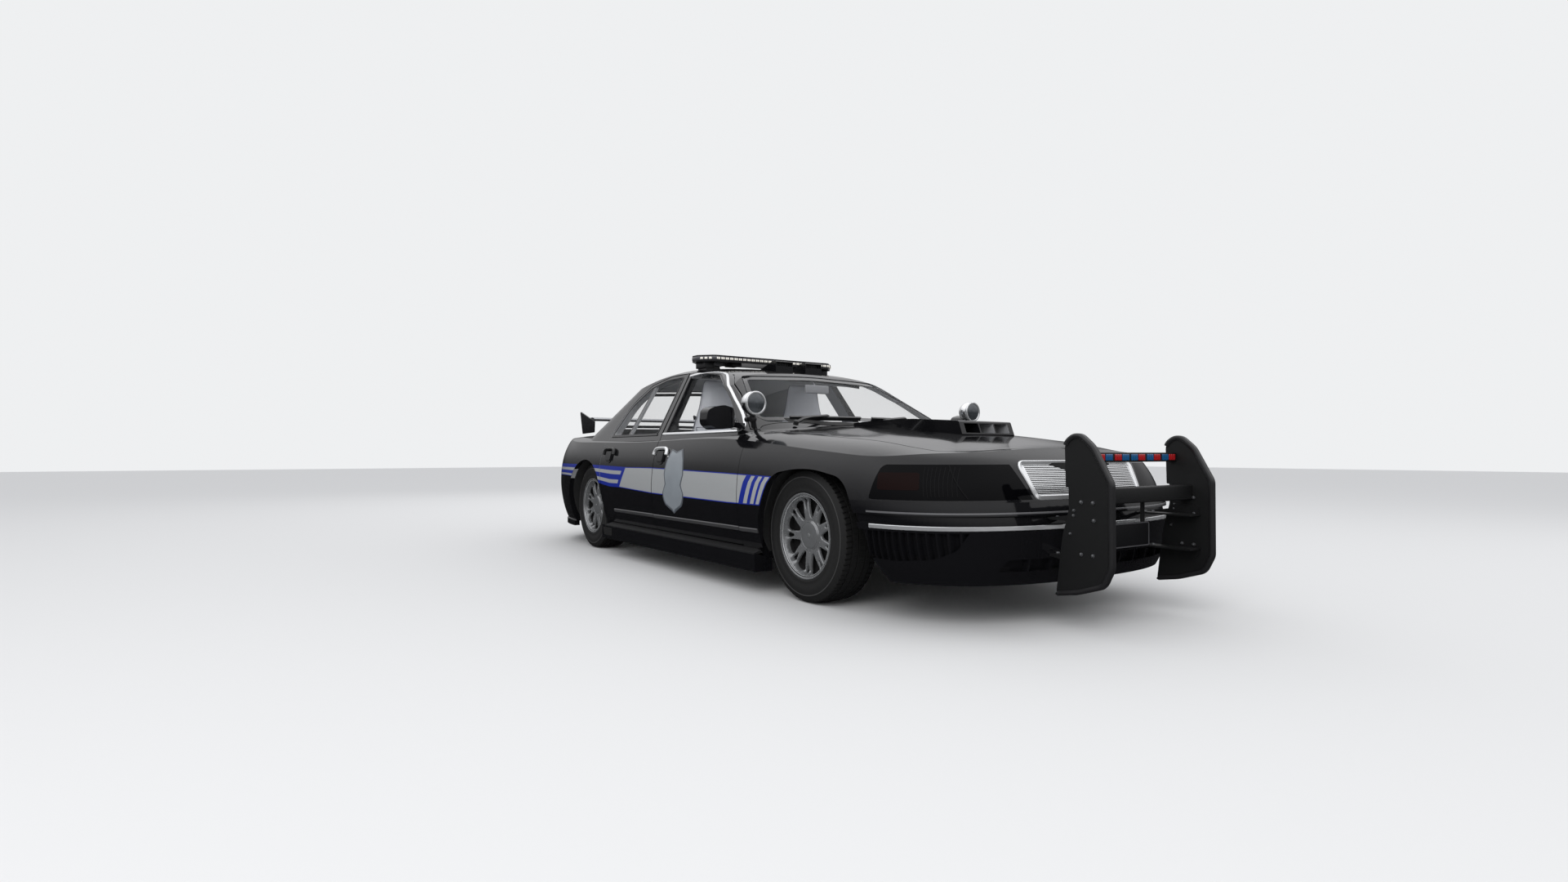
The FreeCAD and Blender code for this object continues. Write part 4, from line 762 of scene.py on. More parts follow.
def rounded(outline, per=6):
    """Points of a closed outline of (u, v, radius) corners."""
    points = []
    for i, (u, v, radius) in enumerate(outline):
        here = Vector((u, v))
        before = (Vector(outline[i - 1][:2]) - here).normalized()
        after = (Vector(outline[(i + 1) % len(outline)][:2]) - here).normalized()
        if radius <= 0:
            points.append(here)
            continue
        half = before.angle(after) / 2
        centre = here + (before + after).normalized() * (radius / math.sin(half))
        a = here + before * (radius / math.tan(half)) - centre
        b = here + after * (radius / math.tan(half)) - centre
        first = math.atan2(a.y, a.x)
        turn = math.atan2(a.x * b.y - a.y * b.x, a.dot(b))
        for k in range(per + 1):
            angle = first + turn * k / per
            points.append(centre + Vector((math.cos(angle), math.sin(angle))) * radius)
    return points


def loop_offset(points, gap):
    """Closed loop moved outward by gap."""
    count = len(points)
    area = sum(points[i - 1].x * points[i].y - points[i].x * points[i - 1].y for i in range(count))
    sign = 1 if area > 0 else -1
    made = []
    for i in range(count):
        way = (points[(i + 1) % count] - points[i - 1]).normalized()
        made.append(points[i] + Vector((way.y, -way.x)) * gap * sign)
    return made


def spaced(points, step, closed=False):
    """Points at even steps along a broken line."""
    line = list(points) + ([points[0]] if closed else [])
    made = []
    for a, b in zip(line, line[1:]):
        count = max(1, round((b - a).length / step))
        made += [a + (b - a) * k / count for k in range(count)]
    if not closed:
        made.append(line[-1])
    return made


def slab(build, grid, low, high, mark=None):
    """Closed sheet over a grid of (point, normal) with its faces low and high millimetres off it."""
    rows = len(grid)
    cols = len(grid[0])
    base = rows * cols
    verts = [p + n * (high / 1000) for row in grid for p, n in row]
    verts += [p + n * (low / 1000) for row in grid for p, n in row]
    faces = []
    marks = []

    def put(face, i, j):
        faces.append(face)
        marks.append(mark(i, j) if mark else 0)

    for i in range(rows - 1):
        for j in range(cols - 1):
            a = i * cols + j
            put((a, a + 1, a + cols + 1, a + cols), i, j)
            put((base + a + cols, base + a + cols + 1, base + a + 1, base + a), i, j)
    for j in range(cols - 1):
        a = (rows - 1) * cols + j
        put((j + 1, j, base + j, base + j + 1), 0, j)
        put((a, a + 1, base + a + 1, base + a), rows - 2, j)
    for i in range(rows - 1):
        a = i * cols
        b = a + cols - 1
        put((a, a + cols, base + a + cols, base + a), i, 0)
        put((b + cols, b, base + b, base + b + cols), i, cols - 2)
    start = len(build.verts)
    build.verts += verts
    build.faces += [[start + k for k in face] for face in faces]
    build.marks += marks


def ring_sheet(build, outer, inner, low, high, mark=0):
    """Closed band between two loops of (point, normal)."""
    verts = []
    for (p, n), (q, m) in zip(outer, inner):
        verts += [p + n * (low / 1000), p + n * (high / 1000), q + m * (high / 1000), q + m * (low / 1000)]
    build.add(verts, ring_faces(len(outer), 4, True), mark)


def strip(build, hits, half, out, mark=0, closed=False):
    """Raised strip along (point, normal) pairs; half is half its width, out how far it stands."""
    hits = [h for h in hits if h]
    edge = [(-half, -SUNK), (-half, out * 0.5), (-half * 0.75, out)]
    profile = [(a / 1000, b / 1000) for a, b in edge + [(-a, b) for a, b in reversed(edge)]]
    sweep(build, [p for p, n in hits], [n for p, n in hits], profile, mark, closed)


# Stripes on the sides
band_top = ((-184, 635), (-654, 645), (-1657, 660), (-2088, 657), (-2726, 667), (-3239, 669), (-3900, 668))
band_low = ((-264, 479), (-643, 476), (-1636, 488), (-2186, 510), (-2364, 509), (-2500, 522), (-2900, 560),
            (-3325, 572), (-3900, 574))


def band_z(x, share):
    low = line_at(band_low, x)
    return low + share * (line_at(band_top, x) - low)


def edge_of(tree, share, inside, outside):
    """Where the panel ends at a height share of the band, between a point on it and one off it."""
    for step in range(12):
        x = (inside + outside) / 2
        found = side_hit(tree, x, band_z(x, share))
        if found and found[0].y < -0.86:
            inside = x
        else:
            outside = x
    return inside


def stripe_panel(panels, body, edges, colour, shares=()):
    """Coloured sheet between upright edges, each a function of the height share, from back to front."""
    tree = surface(*panels)
    shares = sorted(set(shares) | {0.0, 0.035, 0.25, 0.5, 0.75, 0.965, 1.0})
    rows = []
    owner = []
    for share in shares:
        line = [edge(share) for edge in edges]
        row = []
        for k, (a, b) in enumerate(zip(line, line[1:])):
            count = max(1, round((edges[k + 1](0.5) - edges[k](0.5)) / 35))
            for step in range(count):
                row.append(a + (b - a) * step / count)
                if share == shares[0]:
                    owner.append(k)
        row.append(line[-1])
        rows.append([side_hit(tree, x, band_z(x, share)) for x in row])
    for row in rows:
        good = [h for h in row if h and h[0].y < -0.8]
        for k, found in enumerate(row):
            if not found or found[0].y > -0.8:
                row[k] = min(good, key=lambda h: abs(row.index(h) - k))
    build = Build()
    slab(build, rows, -0.2, 0.9, lambda i, j: colour(owner[j], (shares[i] + shares[i + 1]) / 2))
    name = "stripe_" + panels[0].replace("_right", "")
    pair(build, name, (band_white, band_blue), "body_paint", (body, other(body)))


def rimmed(share):
    return 1 if share < 0.035 or share > 0.965 else 0


def stripes():
    fender = surface("fenders")
    quarter = surface("quarter_panels")
    both = surface("quarter_panels", "body_frame")
    rear = surface("rear_door_right")
    known = {}

    def found(tree, share, inside, outside, gap):
        key = (id(tree), share, inside)
        if key not in known:
            known[key] = edge_of(tree, share, inside, outside) + gap
        return known[key]

    def arch(share):
        return found(fender, share, -480, -60, -5)

    bars = ((255, 239), (198, 186), (152, 150), (114, 114), (72, 77), (47, 51), (10, 10), (0, 0))
    edges = [lambda share: -528.5]
    for low, high in bars:
        edges.append(lambda share, a=0.85 * low, b=high: arch(share) - (a * (1 - share) + b * share))
    stripe_panel(("fenders",), "root", edges, lambda k, share: 1 if k in (1, 3, 5, 7) else rimmed(share))
    stripe_panel(DOORS[:1], DOORS[0], [lambda share: -1636.0, lambda share: -534.5],
                 lambda k, share: rimmed(share))

    def slant(share):
        return -2186 + 98 * share

    def lines(share):
        return 0 if 0.18 < share < 0.36 or 0.62 < share < 0.80 else 1

    edges = [lambda share: found(rear, share, -2400, -2640, 2), lambda share: slant(share) - 50, slant,
             lambda share: -1644.5]
    stripe_panel(REARS[:1], REARS[0], edges,
                 lambda k, share: (lines(share), 1, rimmed(share))[k], (0.18, 0.36, 0.62, 0.80))
    start = {}

    def cut(share):
        return found(rear, share, -2400, -2640, 2) - 9

    def ahead(share):
        if share not in start:
            x = cut(share) - 4
            start[share] = edge_of(both, share, x, -2900) + 4
        return start[share]

    stripe_panel(("quarter_panels", "body_frame"), "root", [ahead, cut], lambda k, share: lines(share),
                 (0.18, 0.36, 0.62, 0.80))

    def behind(share):
        return found(quarter, share, -3500, -2950, -4)

    stripe_panel(("quarter_panels",), "root", [lambda share: -3880.0, behind],
                 lambda k, share: 0 if 0.05 < share < 0.21 or 0.48 < share < 0.71 else 1,
                 (0.05, 0.21, 0.48, 0.71))


SHIELD_X = -1322


def shield():
    """Plain shield shape on the front door, over the stripe."""
    tree = surface("front_door_right")
    sizes = ((373, 3), (388, 26), (405, 70), (423, 112), (445, 132), (470, 143), (500, 146), (530, 128),
             (556, 112), (585, 122), (621, 136), (663, 132), (695, 124), (718, 118), (742, 104), (762, 90),
             (784, 76))
    for name, shrink, out, look in (("shield", 0, 1.9, shield_grey), ("shield_field", 12, 2.5, shield_pale)):
        build = Build()
        rows = []
        for z, w in sizes:
            wide = max(2, w - shrink)
            z = 580 + (z - 580) * (1 - shrink / 200)
            rows.append([side_hit(tree, SHIELD_X + wide * s, z - (18 * (1 - abs(s)) if z > 770 else 0))
                         for s in (-1, -0.9, -0.6, -0.3, 0, 0.3, 0.6, 0.9, 1)])
        slab(build, rows, 0.2, out)
        pair(build, name, (look,), "body_paint", DOORS)


# Trim on the sides
front_window = ((-1628, 893, 12), (-730, 893, 25), (-1000, 1086, 700), (-1215, 1210, 300), (-1370, 1277, 180),
                (-1560, 1300, 250), (-1728, 1298, 18))
rear_window = ((-1766, 893, 12), (-1853, 1295, 18), (-2100, 1290, 350), (-2315, 1243, 90), (-2490, 1112, 180),
               (-2546, 893, 20))


def side_trim():
    front = surface("front_door_right")
    rear = surface("rear_door_right")
    chrome_line = [(-1700, 0, 886), (-1450, 0, 885), (-1100, 0, 885), (-800, 0, 886), (-745, 0, 886),
                   (-716, 0, 889), (-704, 0, 900), (-708, 0, 914), (-730, 0, 934), (-799, 0, 984),
                   (-890, 0, 1040), (-986, 0, 1096), (-1100, 0, 1165), (-1196, 0, 1219), (-1262, 0, 1253),
                   (-1325, 0, 1279), (-1405, 0, 1298), (-1492, 0, 1307), (-1620, 0, 1306), (-1752, 0, 1299)]
    line = smooth_points(chrome_line, 5)
    build = Build()
    hits = [side_hit(front, p.x, p.z) for p in line]
    strip(build, [h for h in hits if h and h[0].y < -0.5], 9.5, 5)
    pair(build, "window_chrome", (trim_bright,), "grille_chrome", DOORS)
    for name, outline, tree, bodies in (("front_seal", front_window, front, DOORS),
                                        ("rear_seal", rear_window, rear, REARS)):
        build = Build()
        loop = spaced(loop_offset(rounded(outline), 5), 35, True)
        hits = [side_hit(tree, p.x, p.y) for p in loop]
        strip(build, [h for h in hits if h and h[0].y < -0.5], 5.5, 3, 0, True)
        pair(build, name, (edging,), "gloss_plastic", bodies)
    build = Build()
    strip(build, [side_hit(rear, x, 881) for x in range(-1750, -2590, -40)], 7, 4)
    pair(build, "rear_belt_strip", (edging,), "gloss_plastic", REARS)
    for panel, bodies, x0, x1 in (("fenders", ROOT, -527, -338), (DOORS[0], DOORS, -1637, -533),
                                  (REARS[0], REARS, -2311, -1643)):
        build = Build()
        tree = surface(panel)
        count = max(3, round((x1 - x0) / 60))
        hits = [side_hit(tree, x1 + (x0 - x1) * k / count, 340 - 2 * k / count) for k in range(count + 1)]
        strip(build, hits, 12, 7)
        pair(build, "side_moulding_" + panel.replace("_right", ""), (moulding,), "gloss_plastic", bodies)
    for name, x, tree, bodies, looks_of in (("front_handle", -1540, front, DOORS, (trim_bright, edging)),
                                            ("rear_handle", -2428, rear, REARS, (satin, edging))):
        build = Build()
        shape = [(-88, 742), (-86, 764), (-74, 779), (-50, 784), (0, 785), (50, 784), (76, 779), (92, 764),
                 (98, 742)]
        hits = [side_hit(tree, x + p.x, p.z) for p in smooth_points([(a, 0, b) for a, b in shape], 4)]
        path = [p + n * 0.012 for p, n in hits]
        sweep(build, path, [n for p, n in hits], [(a * 0.012, b * 0.014) for a, b in circle(1.0, 10)])
        grid = []
        for z in (700, 712, 730, 750, 766):
            grid.append([side_hit(tree, x + s * (48 if z > 705 else 40), z)
                         for s in (-1, -0.8, -0.3, 0.3, 0.8, 1)])
        slab(build, grid, -0.5, 14, lambda i, j: 1)
        grid = [[side_hit(tree, x + s * w, z) for s in (-1, -0.6, 0, 0.6, 1)]
                for z, w in ((682, 18), (690, 36), (704, 42))]
        slab(build, grid, -0.5, 5, lambda i, j: 1)
        pair(build, name, looks_of, "gloss_plastic", bodies)
        build = Build()
        spot, normal = side_hit(tree, x + 105, 735)
        centre = (spot.x * 1000 - AXLE_X * 1000, spot.y * 1000, spot.z * 1000)
        if name == "front_handle":
            lathe(build, [(-2, 0.3), (-2, 11), (2, 11), (3.5, 8), (3, 0.3)], centre, normal, 20)
            pair(build, "key_cylinder", (chrome,), "grille_chrome", bodies)
    # Flat dark plate on the skirt by the rear wheel: painted shade standing for the opening of the duct.
    build = Build()
    prism(build, [(-2300, -993, 206), (-2300, -993, 150), (-2440, -993, 150), (-2470, -993, 206)],
          (0, -1.5, 0), (0, 2, 0))
    pair(build, "skirt_duct_shade", (dark,), "gloss_plastic")
    build = Build()
    side = surface("body_frame", "front_door_right", "rear_door_right", "fenders", "quarter_panels")
    verts = []
    stations = range(-336, -2490, -60)
    y = -950
    for x in stations:
        found = side_hit(side, x, 236)
        if found and found[0].y < -0.9:
            y = found[0].y * 1000
        verts += [at(x, -992.3, 216), at(x, -992.3, 223), at(x, y - 1, 238), at(x, y + 12, 222)]
    build.add(verts, ring_faces(len(stations), 4))
    pair(build, "skirt_fairing", (edging,), "body_paint")


def windows_trim():
    shield_line = ((-775, 938, 40), (-560, 1262, 50), (0, 1286, 3000), (560, 1262, 50), (775, 938, 40),
                   (0, 948, 3000))
    back_line = ((-700, 960, 50), (-520, 1248, 60), (0, 1272, 2500), (520, 1248, 60), (700, 960, 50),
                 (0, 968, 3000))
    for name, outline, node, hit in (("windshield_border", shield_line, "windshield", front_hit),
                                     ("rear_window_border", back_line, "rear_window", back_hit)):
        tree = surface(node)
        loop = spaced(rounded(outline), 40, True)
        outer = []
        inner = []
        for a, b in zip(loop_offset(loop, -9), loop_offset(loop, -30)):
            first = hit(tree, a.x, a.y)
            second = hit(tree, b.x, b.y)
            if first and second:
                outer.append(first)
                inner.append(second)
        build = Build()
        ring_sheet(build, outer, inner, -0.2, 0.8)
        build.piece(name, (trim_gloss,), "window_glass")


# Front
def front_details():
    lamps = surface("headlamps")
    build = Build()
    grid = []
    for z in (596, 603, 618, 635, 652, 664, 671):
        push = 8 if z in (596, 671) else 0
        start = 606 - (z - 596) * 0.2 + push
        end = 784 - (z - 596) * 0.3 - push
        grid.append([side_hit(lamps, start + (end - start) * k / 8, z) for k in range(9)])
    slab(build, grid, -0.2, 0.8)
    pair(build, "side_marker", (marker,), "lamp_lens")
    build = Build()
    for k in range(9):
        hits = []
        for s in range(7):
            z = 568 + s * 21
            x = 806 + k * 11.5 - (z - 568) * 0.30
            hits.append(side_hit(lamps, x, z))
        strip(build, hits, 2.6, 1.6)
    pair(build, "lamp_flutes", (flute,), "lamp_lens")
    build = Build()
    hits = [side_hit(lamps, 922 - s * 15.5, 560 + s * 24) for s in range(7)]
    strip(build, hits, 3.5, 2.2)
    pair(build, "lamp_divider", (flute,), "lamp_lens")
    bumper = surface("front_bumper")
    build = Build()
    hits = [round_hit(bumper, 0, a * 59.0 / 60, 437) for a in range(60, -61, -1)]
    strip(build, hits, 9.5, 6)
    build.piece("bumper_strip", (trim_bright,), "grille_chrome")
    # Thin grey strip along the bumper's ledge: a painted highlight on the black paint, not a separate part.
    build = Build()
    hits = [round_hit(bumper, 0, a, 499) for a in range(60, -61, -2)]
    strip(build, hits, 4, 1.5)
    build.piece("bumper_ledge_highlight", (ledge_painted_highlight,), "body_paint")
    grille = surface("grille")
    outline = ((-390, 551, 30), (390, 551, 30), (429, 721, 35), (-429, 721, 35))
    loop = spaced(rounded(outline), 30, True)
    build = Build()
    hits = []
    for p in loop_offset(loop, -9):
        found = front_hit(grille, p.x, p.y)
        if found:
            hits.append((found[0], Vector((1, 0, 0))))
    strip(build, hits, 12, 7, 0, True)
    build.piece("grille_surround_edge", (trim_bright,), "grille_chrome")
    build = Build()
    grid = []
    for z in (557, 610, 660, 712):
        half = 383 + 12 * (z - 557) / 155
        row = []
        for k in range(13):
            y = half * (k / 6 - 1)
            row.append((at(1060 - 0.00036 * y * y - 0.33 * (z - 557) - 31, y, z), Vector((1, 0, 0))))
        grid.append(row)
    slab(build, grid, -4, 0)
    build.piece("grille_backing", (dark,), "grille_chrome")
    build = Build()
    for y in (-114, 0, 114):
        for k in range(6):
            rod(build, [(176, y - 52, 866 + k * 9), (176, y + 52, 866 + k * 9)], 1.2, 0, 6)
    build.piece("scoop_mesh", (satin,), "gloss_plastic", "hood")


plate_line = ((1118, 158, 10), (1225, 176, 200), (1345, 215, 60), (1382, 290, 60), (1382, 631, 60),
              (1300, 780, 120), (1227, 843, 50), (1165, 800, 50), (1169, 613, 5), (1183, 611, 5),
              (1183, 520, 60), (1150, 400, 300))


def push_bar():
    points = rounded(plate_line, 8)
    first = min(range(len(points)), key=lambda i: (points[i] - Vector((1118, 158))).length)
    points = points[first:] + points[:first]
    last = min(range(len(points)), key=lambda i: (points[i] - Vector((1172, 792))).length)
    line = spaced(points[:last + 1], 25)
    build = Build()
    path = [at(p.x, -379, p.y) for p in line]
    normals = []
    for i, p in enumerate(line):
        way = line[min(i + 1, len(line) - 1)] - line[max(i - 1, 0)]
        normals.append(Vector((way.y, 0, -way.x)).normalized())
    ring = [(a * 0.0165, max(-0.012, min(0.009, b * 0.014 - 0.001))) for a, b in circle(1.0, 14)]
    sweep(build, path, normals, ring)
    pair(build, "bar_edging", (edging,), "bar_metal")
    build = Build()
    spots = ((1244, 553), (1299, 552), (1303, 480), (1243, 337), (1298, 336), (1207, 496), (1191, 419),
             (1209, 517))
    for k, (x, z) in enumerate(spots):
        size = 6.5 if k < 5 else 4.5
        for y, way in ((-386, -1), (-372, 1)):
            start = (x, y, z)
            lathe(build, [(-1, 0.3), (-1, size * 1.35), (1.5, size * 1.35), (1.5, size), (7, size * 0.95),
                          (8.5, size * 0.6), (8.5, 0.3)], start, (0, way, 0), 6 if k < 5 else 12)
    for x in (1085, 1125):
        for z in (323, 478):
            lathe(build, [(-1, 0.3), (-1, 9), (2, 9), (6, 7), (6, 0.3)], (x, -330, z), (0, 0, 1), 12)
    pair(build, "bar_bolts", (bolt,), "bar_metal")
    build = Build()
    for z, way in ((478, 1), (315, -1)):
        corners = [(1060, z), (1325, z), (1325, z + way * 22), (1300, z + way * 42), (1215, z + way * 42),
                   (1195, z + way * 20)]
        prism(build, [(x, 0, h) for x, h in corners], (0, -372, 0), (0, -366, 0))
    pair(build, "bar_gussets", (bar_black,), "bar_metal")
    build = Build()
    soft_box(build, 1226, 1294, -371, 371, 541, 609, 6)
    soft_box(build, 1181, 1219, -371, 371, 717, 759, 4)
    build.piece("bar_cross_sleeve", (bar_black,), "bar_metal")
    build = Build()
    for k in range(12):
        y0 = -366 + k * 61 + (7 if k % 2 == 0 else 2)
        mark = (1, 0)[k % 2] if k < 6 else (0, 1)[k % 2]
        for s in range(3):
            soft_box(build, 1216, 1223, y0 + s * 16.5, y0 + s * 16.5 + 16, 724, 752, 2.5, mark)
    build.piece("bar_lamps", (led_blue, led_red), "lamp_modules")
    build = Build()
    soft_box(build, 1211, 1214, -152, 152, 338, 448, 1)
    build.piece("front_plate", (plate_dark,), "bar_metal")
    build = Build()
    loop = spaced(rounded(((-148, 342, 8), (148, 342, 8), (148, 444, 8), (-148, 444, 8))), 40, True)
    strip(build, [(at(1214, p.x, p.y), Vector((1, 0, 0))) for p in loop], 2.5, 1.5, 0, True)
    build.piece("front_plate_frame", (plate_edge,), "bar_metal")
    build = Build()
    for y in (-110, 110):
        box(build, 1204, 1211, y - 12, y + 12, 345, 556)
        box(build, 1204, 1232, y - 12, y + 12, 550, 556)
    build.piece("plate_straps", (bar_black,), "bar_metal")


# Roof, mirrors, spotlights
light_plan = ((-1640, -500, 60), (-1735, -590, 40), (-1815, -590, 40), (-1910, -500, 60), (-1910, 500, 60),
              (-1815, 590, 40), (-1735, 590, 40), (-1640, 500, 60))


def light_bar():
    build = Build()
    loop = spaced(rounded(light_plan, 4), 60, True)
    path = [at(p.x, p.y, 1428) for p in loop]
    normals = []
    for i, p in enumerate(loop):
        way = (loop[(i + 1) % len(loop)] - loop[i - 1]).normalized()
        normals.append(Vector((-way.y, way.x, 0)) if Vector((-way.y, way.x)).dot(p - Vector((-1775, 0))) > 0
                       else Vector((way.y, -way.x, 0)))
    strip(build, list(zip(path, normals)), 12, 2.5, 0, True)
    build.piece("light_bar_lens", (bar_lens,), "light_bar_case")
    build = Build()
    for k in range(28):
        y = -486 + k * 36
        for s in (0, 1):
            soft_box(build, -1639, -1635.5, y + s * 15, y + s * 15 + 12, 1421, 1435, 1.5, 0)
        box(build, -1639, -1636, y + 28.5, y + 32.5, 1417, 1439, 1)
    for side in (-1, 1):
        for k in range(3):
            x = -1662 - k * 24
            y = side * (525 + k * 22)
            soft_box(build, x - 8, x + 8, y - 8, y + 8, 1421, 1435, 2)
    build.piece("light_bar_leds", (led_white, dark), "light_bar_case")
    build = Build()
    outline = [(p.x, p.y, 0) for p in loop_offset(rounded(light_plan, 4), -26)]
    prism(build, outline, (0, 0, 1449), (0, 0, 1453))
    build.piece("light_bar_lid", (trim_gloss,), "light_bar_case")
    build = Build()
    soft_box(build, -1838, -1712, -548, -462, 1362, 1405, 5, 1)
    soft_box(build, -1850, -1700, -470, -400, 1378, 1405, 4, 0)
    soft_box(build, -1820, -1730, -402, -352, 1390, 1405, 3, 0)
    soft_box(build, -1800, -1690, -330, -250, 1384, 1405, 3, 1)
    pair(build, "light_bar_mounts", (mount_grey, satin), "light_bar_case")


def mirrors():
    back = ((-928, 902, 30), (-935, 1008, 40), (-1010, 1028, 60), (-1080, 1012, 40), (-1090, 925, 45),
            (-1040, 890, 40))
    build = Build()
    loop = loop_offset(rounded(back), -9)
    prism(build, [(0, p.x, p.y) for p in loop], (-776.5, 0, 0), (-774, 0, 0))
    pair(build, "mirror_glass", (mirror_glass,), "gloss_plastic", DOORS)
    build = Build()
    tree = surface("front_door_right", "front_door_glass_right")
    grid = []
    for s in range(6):
        z = 899 + s * 12
        grid.append([side_hit(tree, -722 - s * 17 - (88 - s * 14) * k / 5, z) for k in range(6)])
    slab(build, grid, -0.3, 7)
    pair(build, "mirror_foot", (trim_gloss,), "gloss_plastic", DOORS)


def spotlights():
    build = Build()
    centre = (-510, -873, 1037)
    lathe(build, [(-8, 56), (-8, 64.5), (-2, 67.5), (6, 67.5), (10, 64), (10, 58), (4, 54)], centre,
          (1, 0, 0), 48)
    pair(build, "spot_ring", (trim_bright,), "spot_chrome")
    build = Build()
    lathe(build, [(-1, 0.4), (-1, 57), (5, 57), (9, 44), (12, 24), (13, 0.4)], centre, (1, 0, 0), 48)
    pair(build, "spot_lens", (spot_glass,), "spot_chrome")
    build = Build()
    rod(build, [(-545, -873, 985), (-550, -868, 955), (-562, -856, 930), (-580, -842, 908)], 15, 0, 14)
    lathe(build, [(-16, 0.4), (-16, 17), (-10, 21), (10, 21), (16, 17), (16, 0.4)], (-553, -866, 950),
          (0, 1, 0.1), 20)
    lathe(build, [(-12, 0.4), (-12, 12), (-8, 15), (8, 15), (12, 12), (12, 0.4)], (-590, -880, 948),
          (1, 0.2, 0), 18)
    rod(build, [(-560, -868, 950), (-590, -880, 948)], 6, 0, 10)
    pair(build, "spot_bracket", (edging,), "spot_chrome")


def wipers():
    glass = surface("windshield")
    cowl = surface("body_frame", "windshield")
    build = Build()
    for pivot, reach in ((-600, -40), (20, 600)):
        hits = []
        for k in range(13):
            y = pivot + 30 + (reach - pivot - 30) * k / 12
            found = front_hit(glass, y, 968 - abs(y) * 0.012)
            if found:
                hits.append(found)
        path = [p for p, n in hits]
        normals = [n for p, n in hits]
        sweep(build, path, normals, [(-0.003, 0.001), (-0.005, 0.012), (-0.009, 0.016), (0.009, 0.016),
                                     (0.005, 0.012), (0.003, 0.001)])
        middle = path[len(path) // 2] + normals[len(path) // 2] * 0.024
        start = at(-505, pivot, 934)
        between = start.lerp(middle, 0.4) + Vector((0.012, 0, 0.016))
        arm = [start, start.lerp(between, 0.5) + Vector((0, 0, 0.006)), between, between.lerp(middle, 0.5),
               middle]
        sweep(build, arm, [Vector((0.5, 0, 1))] * 5, [(-0.009, -0.004), (-0.009, 0.004), (0.009, 0.004),
                                                      (0.009, -0.004)])
        lathe(build, [(-14, 0.4), (-14, 16), (8, 16), (14, 10), (14, 0.4)],
              (start.x * 1000 - AXLE_X * 1000, start.y * 1000, start.z * 1000), (0.3, 0, 1), 16)
    build.piece("wipers", (satin,), "gloss_plastic")
    build = Build()
    grid = []
    for y in range(-600, 601, 60):
        edge = -450 - 55 * min(1.0, abs(y) / 400) - 120 * max(0.0, abs(y) - 400) / 406 - 9
        row = []
        for k in range(6):
            found = top_hit(cowl, edge - k * 11, y)
            row.append((found[0], Vector((0.3, 0, 0.95))))
        grid.append(row)
    slab(build, grid, -1, 2.5)
    build.piece("cowl_panel", (dark,), "gloss_plastic")


def rear_details():
    lid = surface("boot_lid")
    bumper = surface("rear_bumper", "boot_lid")
    build = Build()
    grid = [[back_hit(lid, y, z) for y in range(-156, 157, 26)] for z in (650, 680, 710, 740, 770, 800)]
    if all(h for row in grid for h in row):
        slab(build, grid, -0.5, 3)
        build.piece("rear_plate", (plate_dark,), "gloss_plastic", "boot_lid")
        build = Build()
        loop = spaced(rounded(((-152, 654, 8), (152, 654, 8), (152, 796, 8), (-152, 796, 8))), 40, True)
        strip(build, [back_hit(lid, p.x, p.y) for p in loop], 3, 6, 0, True)
        build.piece("rear_plate_frame", (plate_edge,), "gloss_plastic", "boot_lid")
    build = Build()
    hits = [back_hit(bumper, y, 470) for y in range(-780, 781, 40)]
    strip(build, hits, 14, 7)
    build.piece("rear_bumper_strip", (edging,), "gloss_plastic")
    lamps = surface("tail_lamps")
    build = Build()
    for z in (700, 738):
        hits = [side_hit(lamps, x, z) for x in range(-3990, -4200, -15)]
        strip(build, [h for h in hits if h and h[0].y < -0.7], 3, 1.2)
    for z in (700, 738, 786):
        hits = [back_hit(lamps, y, z) for y in range(-860, -655, 15)]
        strip(build, hits, 3, 1.2)
    pair(build, "tail_ribs", (tail_dark,), "tail_lens")
    build = Build()
    grid = [[back_hit(lamps, y, z) for y in range(-740, -660, 12)] for z in (708, 718, 730)]
    if all(h for row in grid for h in row):
        slab(build, grid, -0.2, 1.2)
        pair(build, "reversing_lens", (clear_lens,), "tail_lens")
    build = Build()
    foil = ((-3695, 1061, 5), (-3750, 1083, 60), (-3925, 1079, 5), (-3760, 1051, 60))
    outline = [(p.x, 0, p.y) for p in loop_offset(rounded(foil, 8), 1.2)]
    prism(build, outline, (0, -589, 0), (0, 589, 0))
    build.piece("wing_foil_cover", (foil_grey,), "bar_metal", "boot_lid")
    build = Build()
    lathe(build, [(0, 24), (0, 31), (-60, 31), (-60, 24)], (-4230, -350, 164), (-1, 0, 0), 28)
    build.piece("tail_pipe_tip", (chrome,), "chassis_steel")
    build = Build()
    for side in (-1, 1):
        for k in range(7):
            y = side * (62 + k * 21)
            rod(build, [(-1346, y, 1363), (-1346, y, 1389)], 1.3, 0, 6)
        for z in (1368, 1376, 1384):
            rod(build, [(-1346, side * 60, z), (-1346, side * 190, z)], 1.3, 0, 6)
    build.piece("vent_mesh", (satin,), "gloss_plastic")


# Cabin
def pillow(place, across=14, along=24):
    """Closed crowned form; place(u, v, bulge) takes u, v and bulge from -1 (behind) to 1 (in front)."""
    build = Build()
    us = [math.sin(math.pi / 2 * (2 * i / across - 1)) for i in range(across + 1)]
    vs = [math.sin(math.pi / 2 * (2 * i / along - 1)) for i in range(along + 1)]
    for side in (1, -1):
        verts = []
        for v in vs:
            for u in us:
                inside = abs(u) < 1 and abs(v) < 1
                rise = ((1 - abs(u) ** 3.0) * (1 - abs(v) ** 5.0)) ** 0.5 if inside else 0.0
                verts.append(place(u, v, side * rise))
        faces = []
        for i in range(along):
            for j in range(across):
                a = i * (across + 1) + j
                face = (a, a + 1, a + across + 2, a + across + 1)
                faces.append(face if side > 0 else face[::-1])
        build.add(verts, faces)
    return build


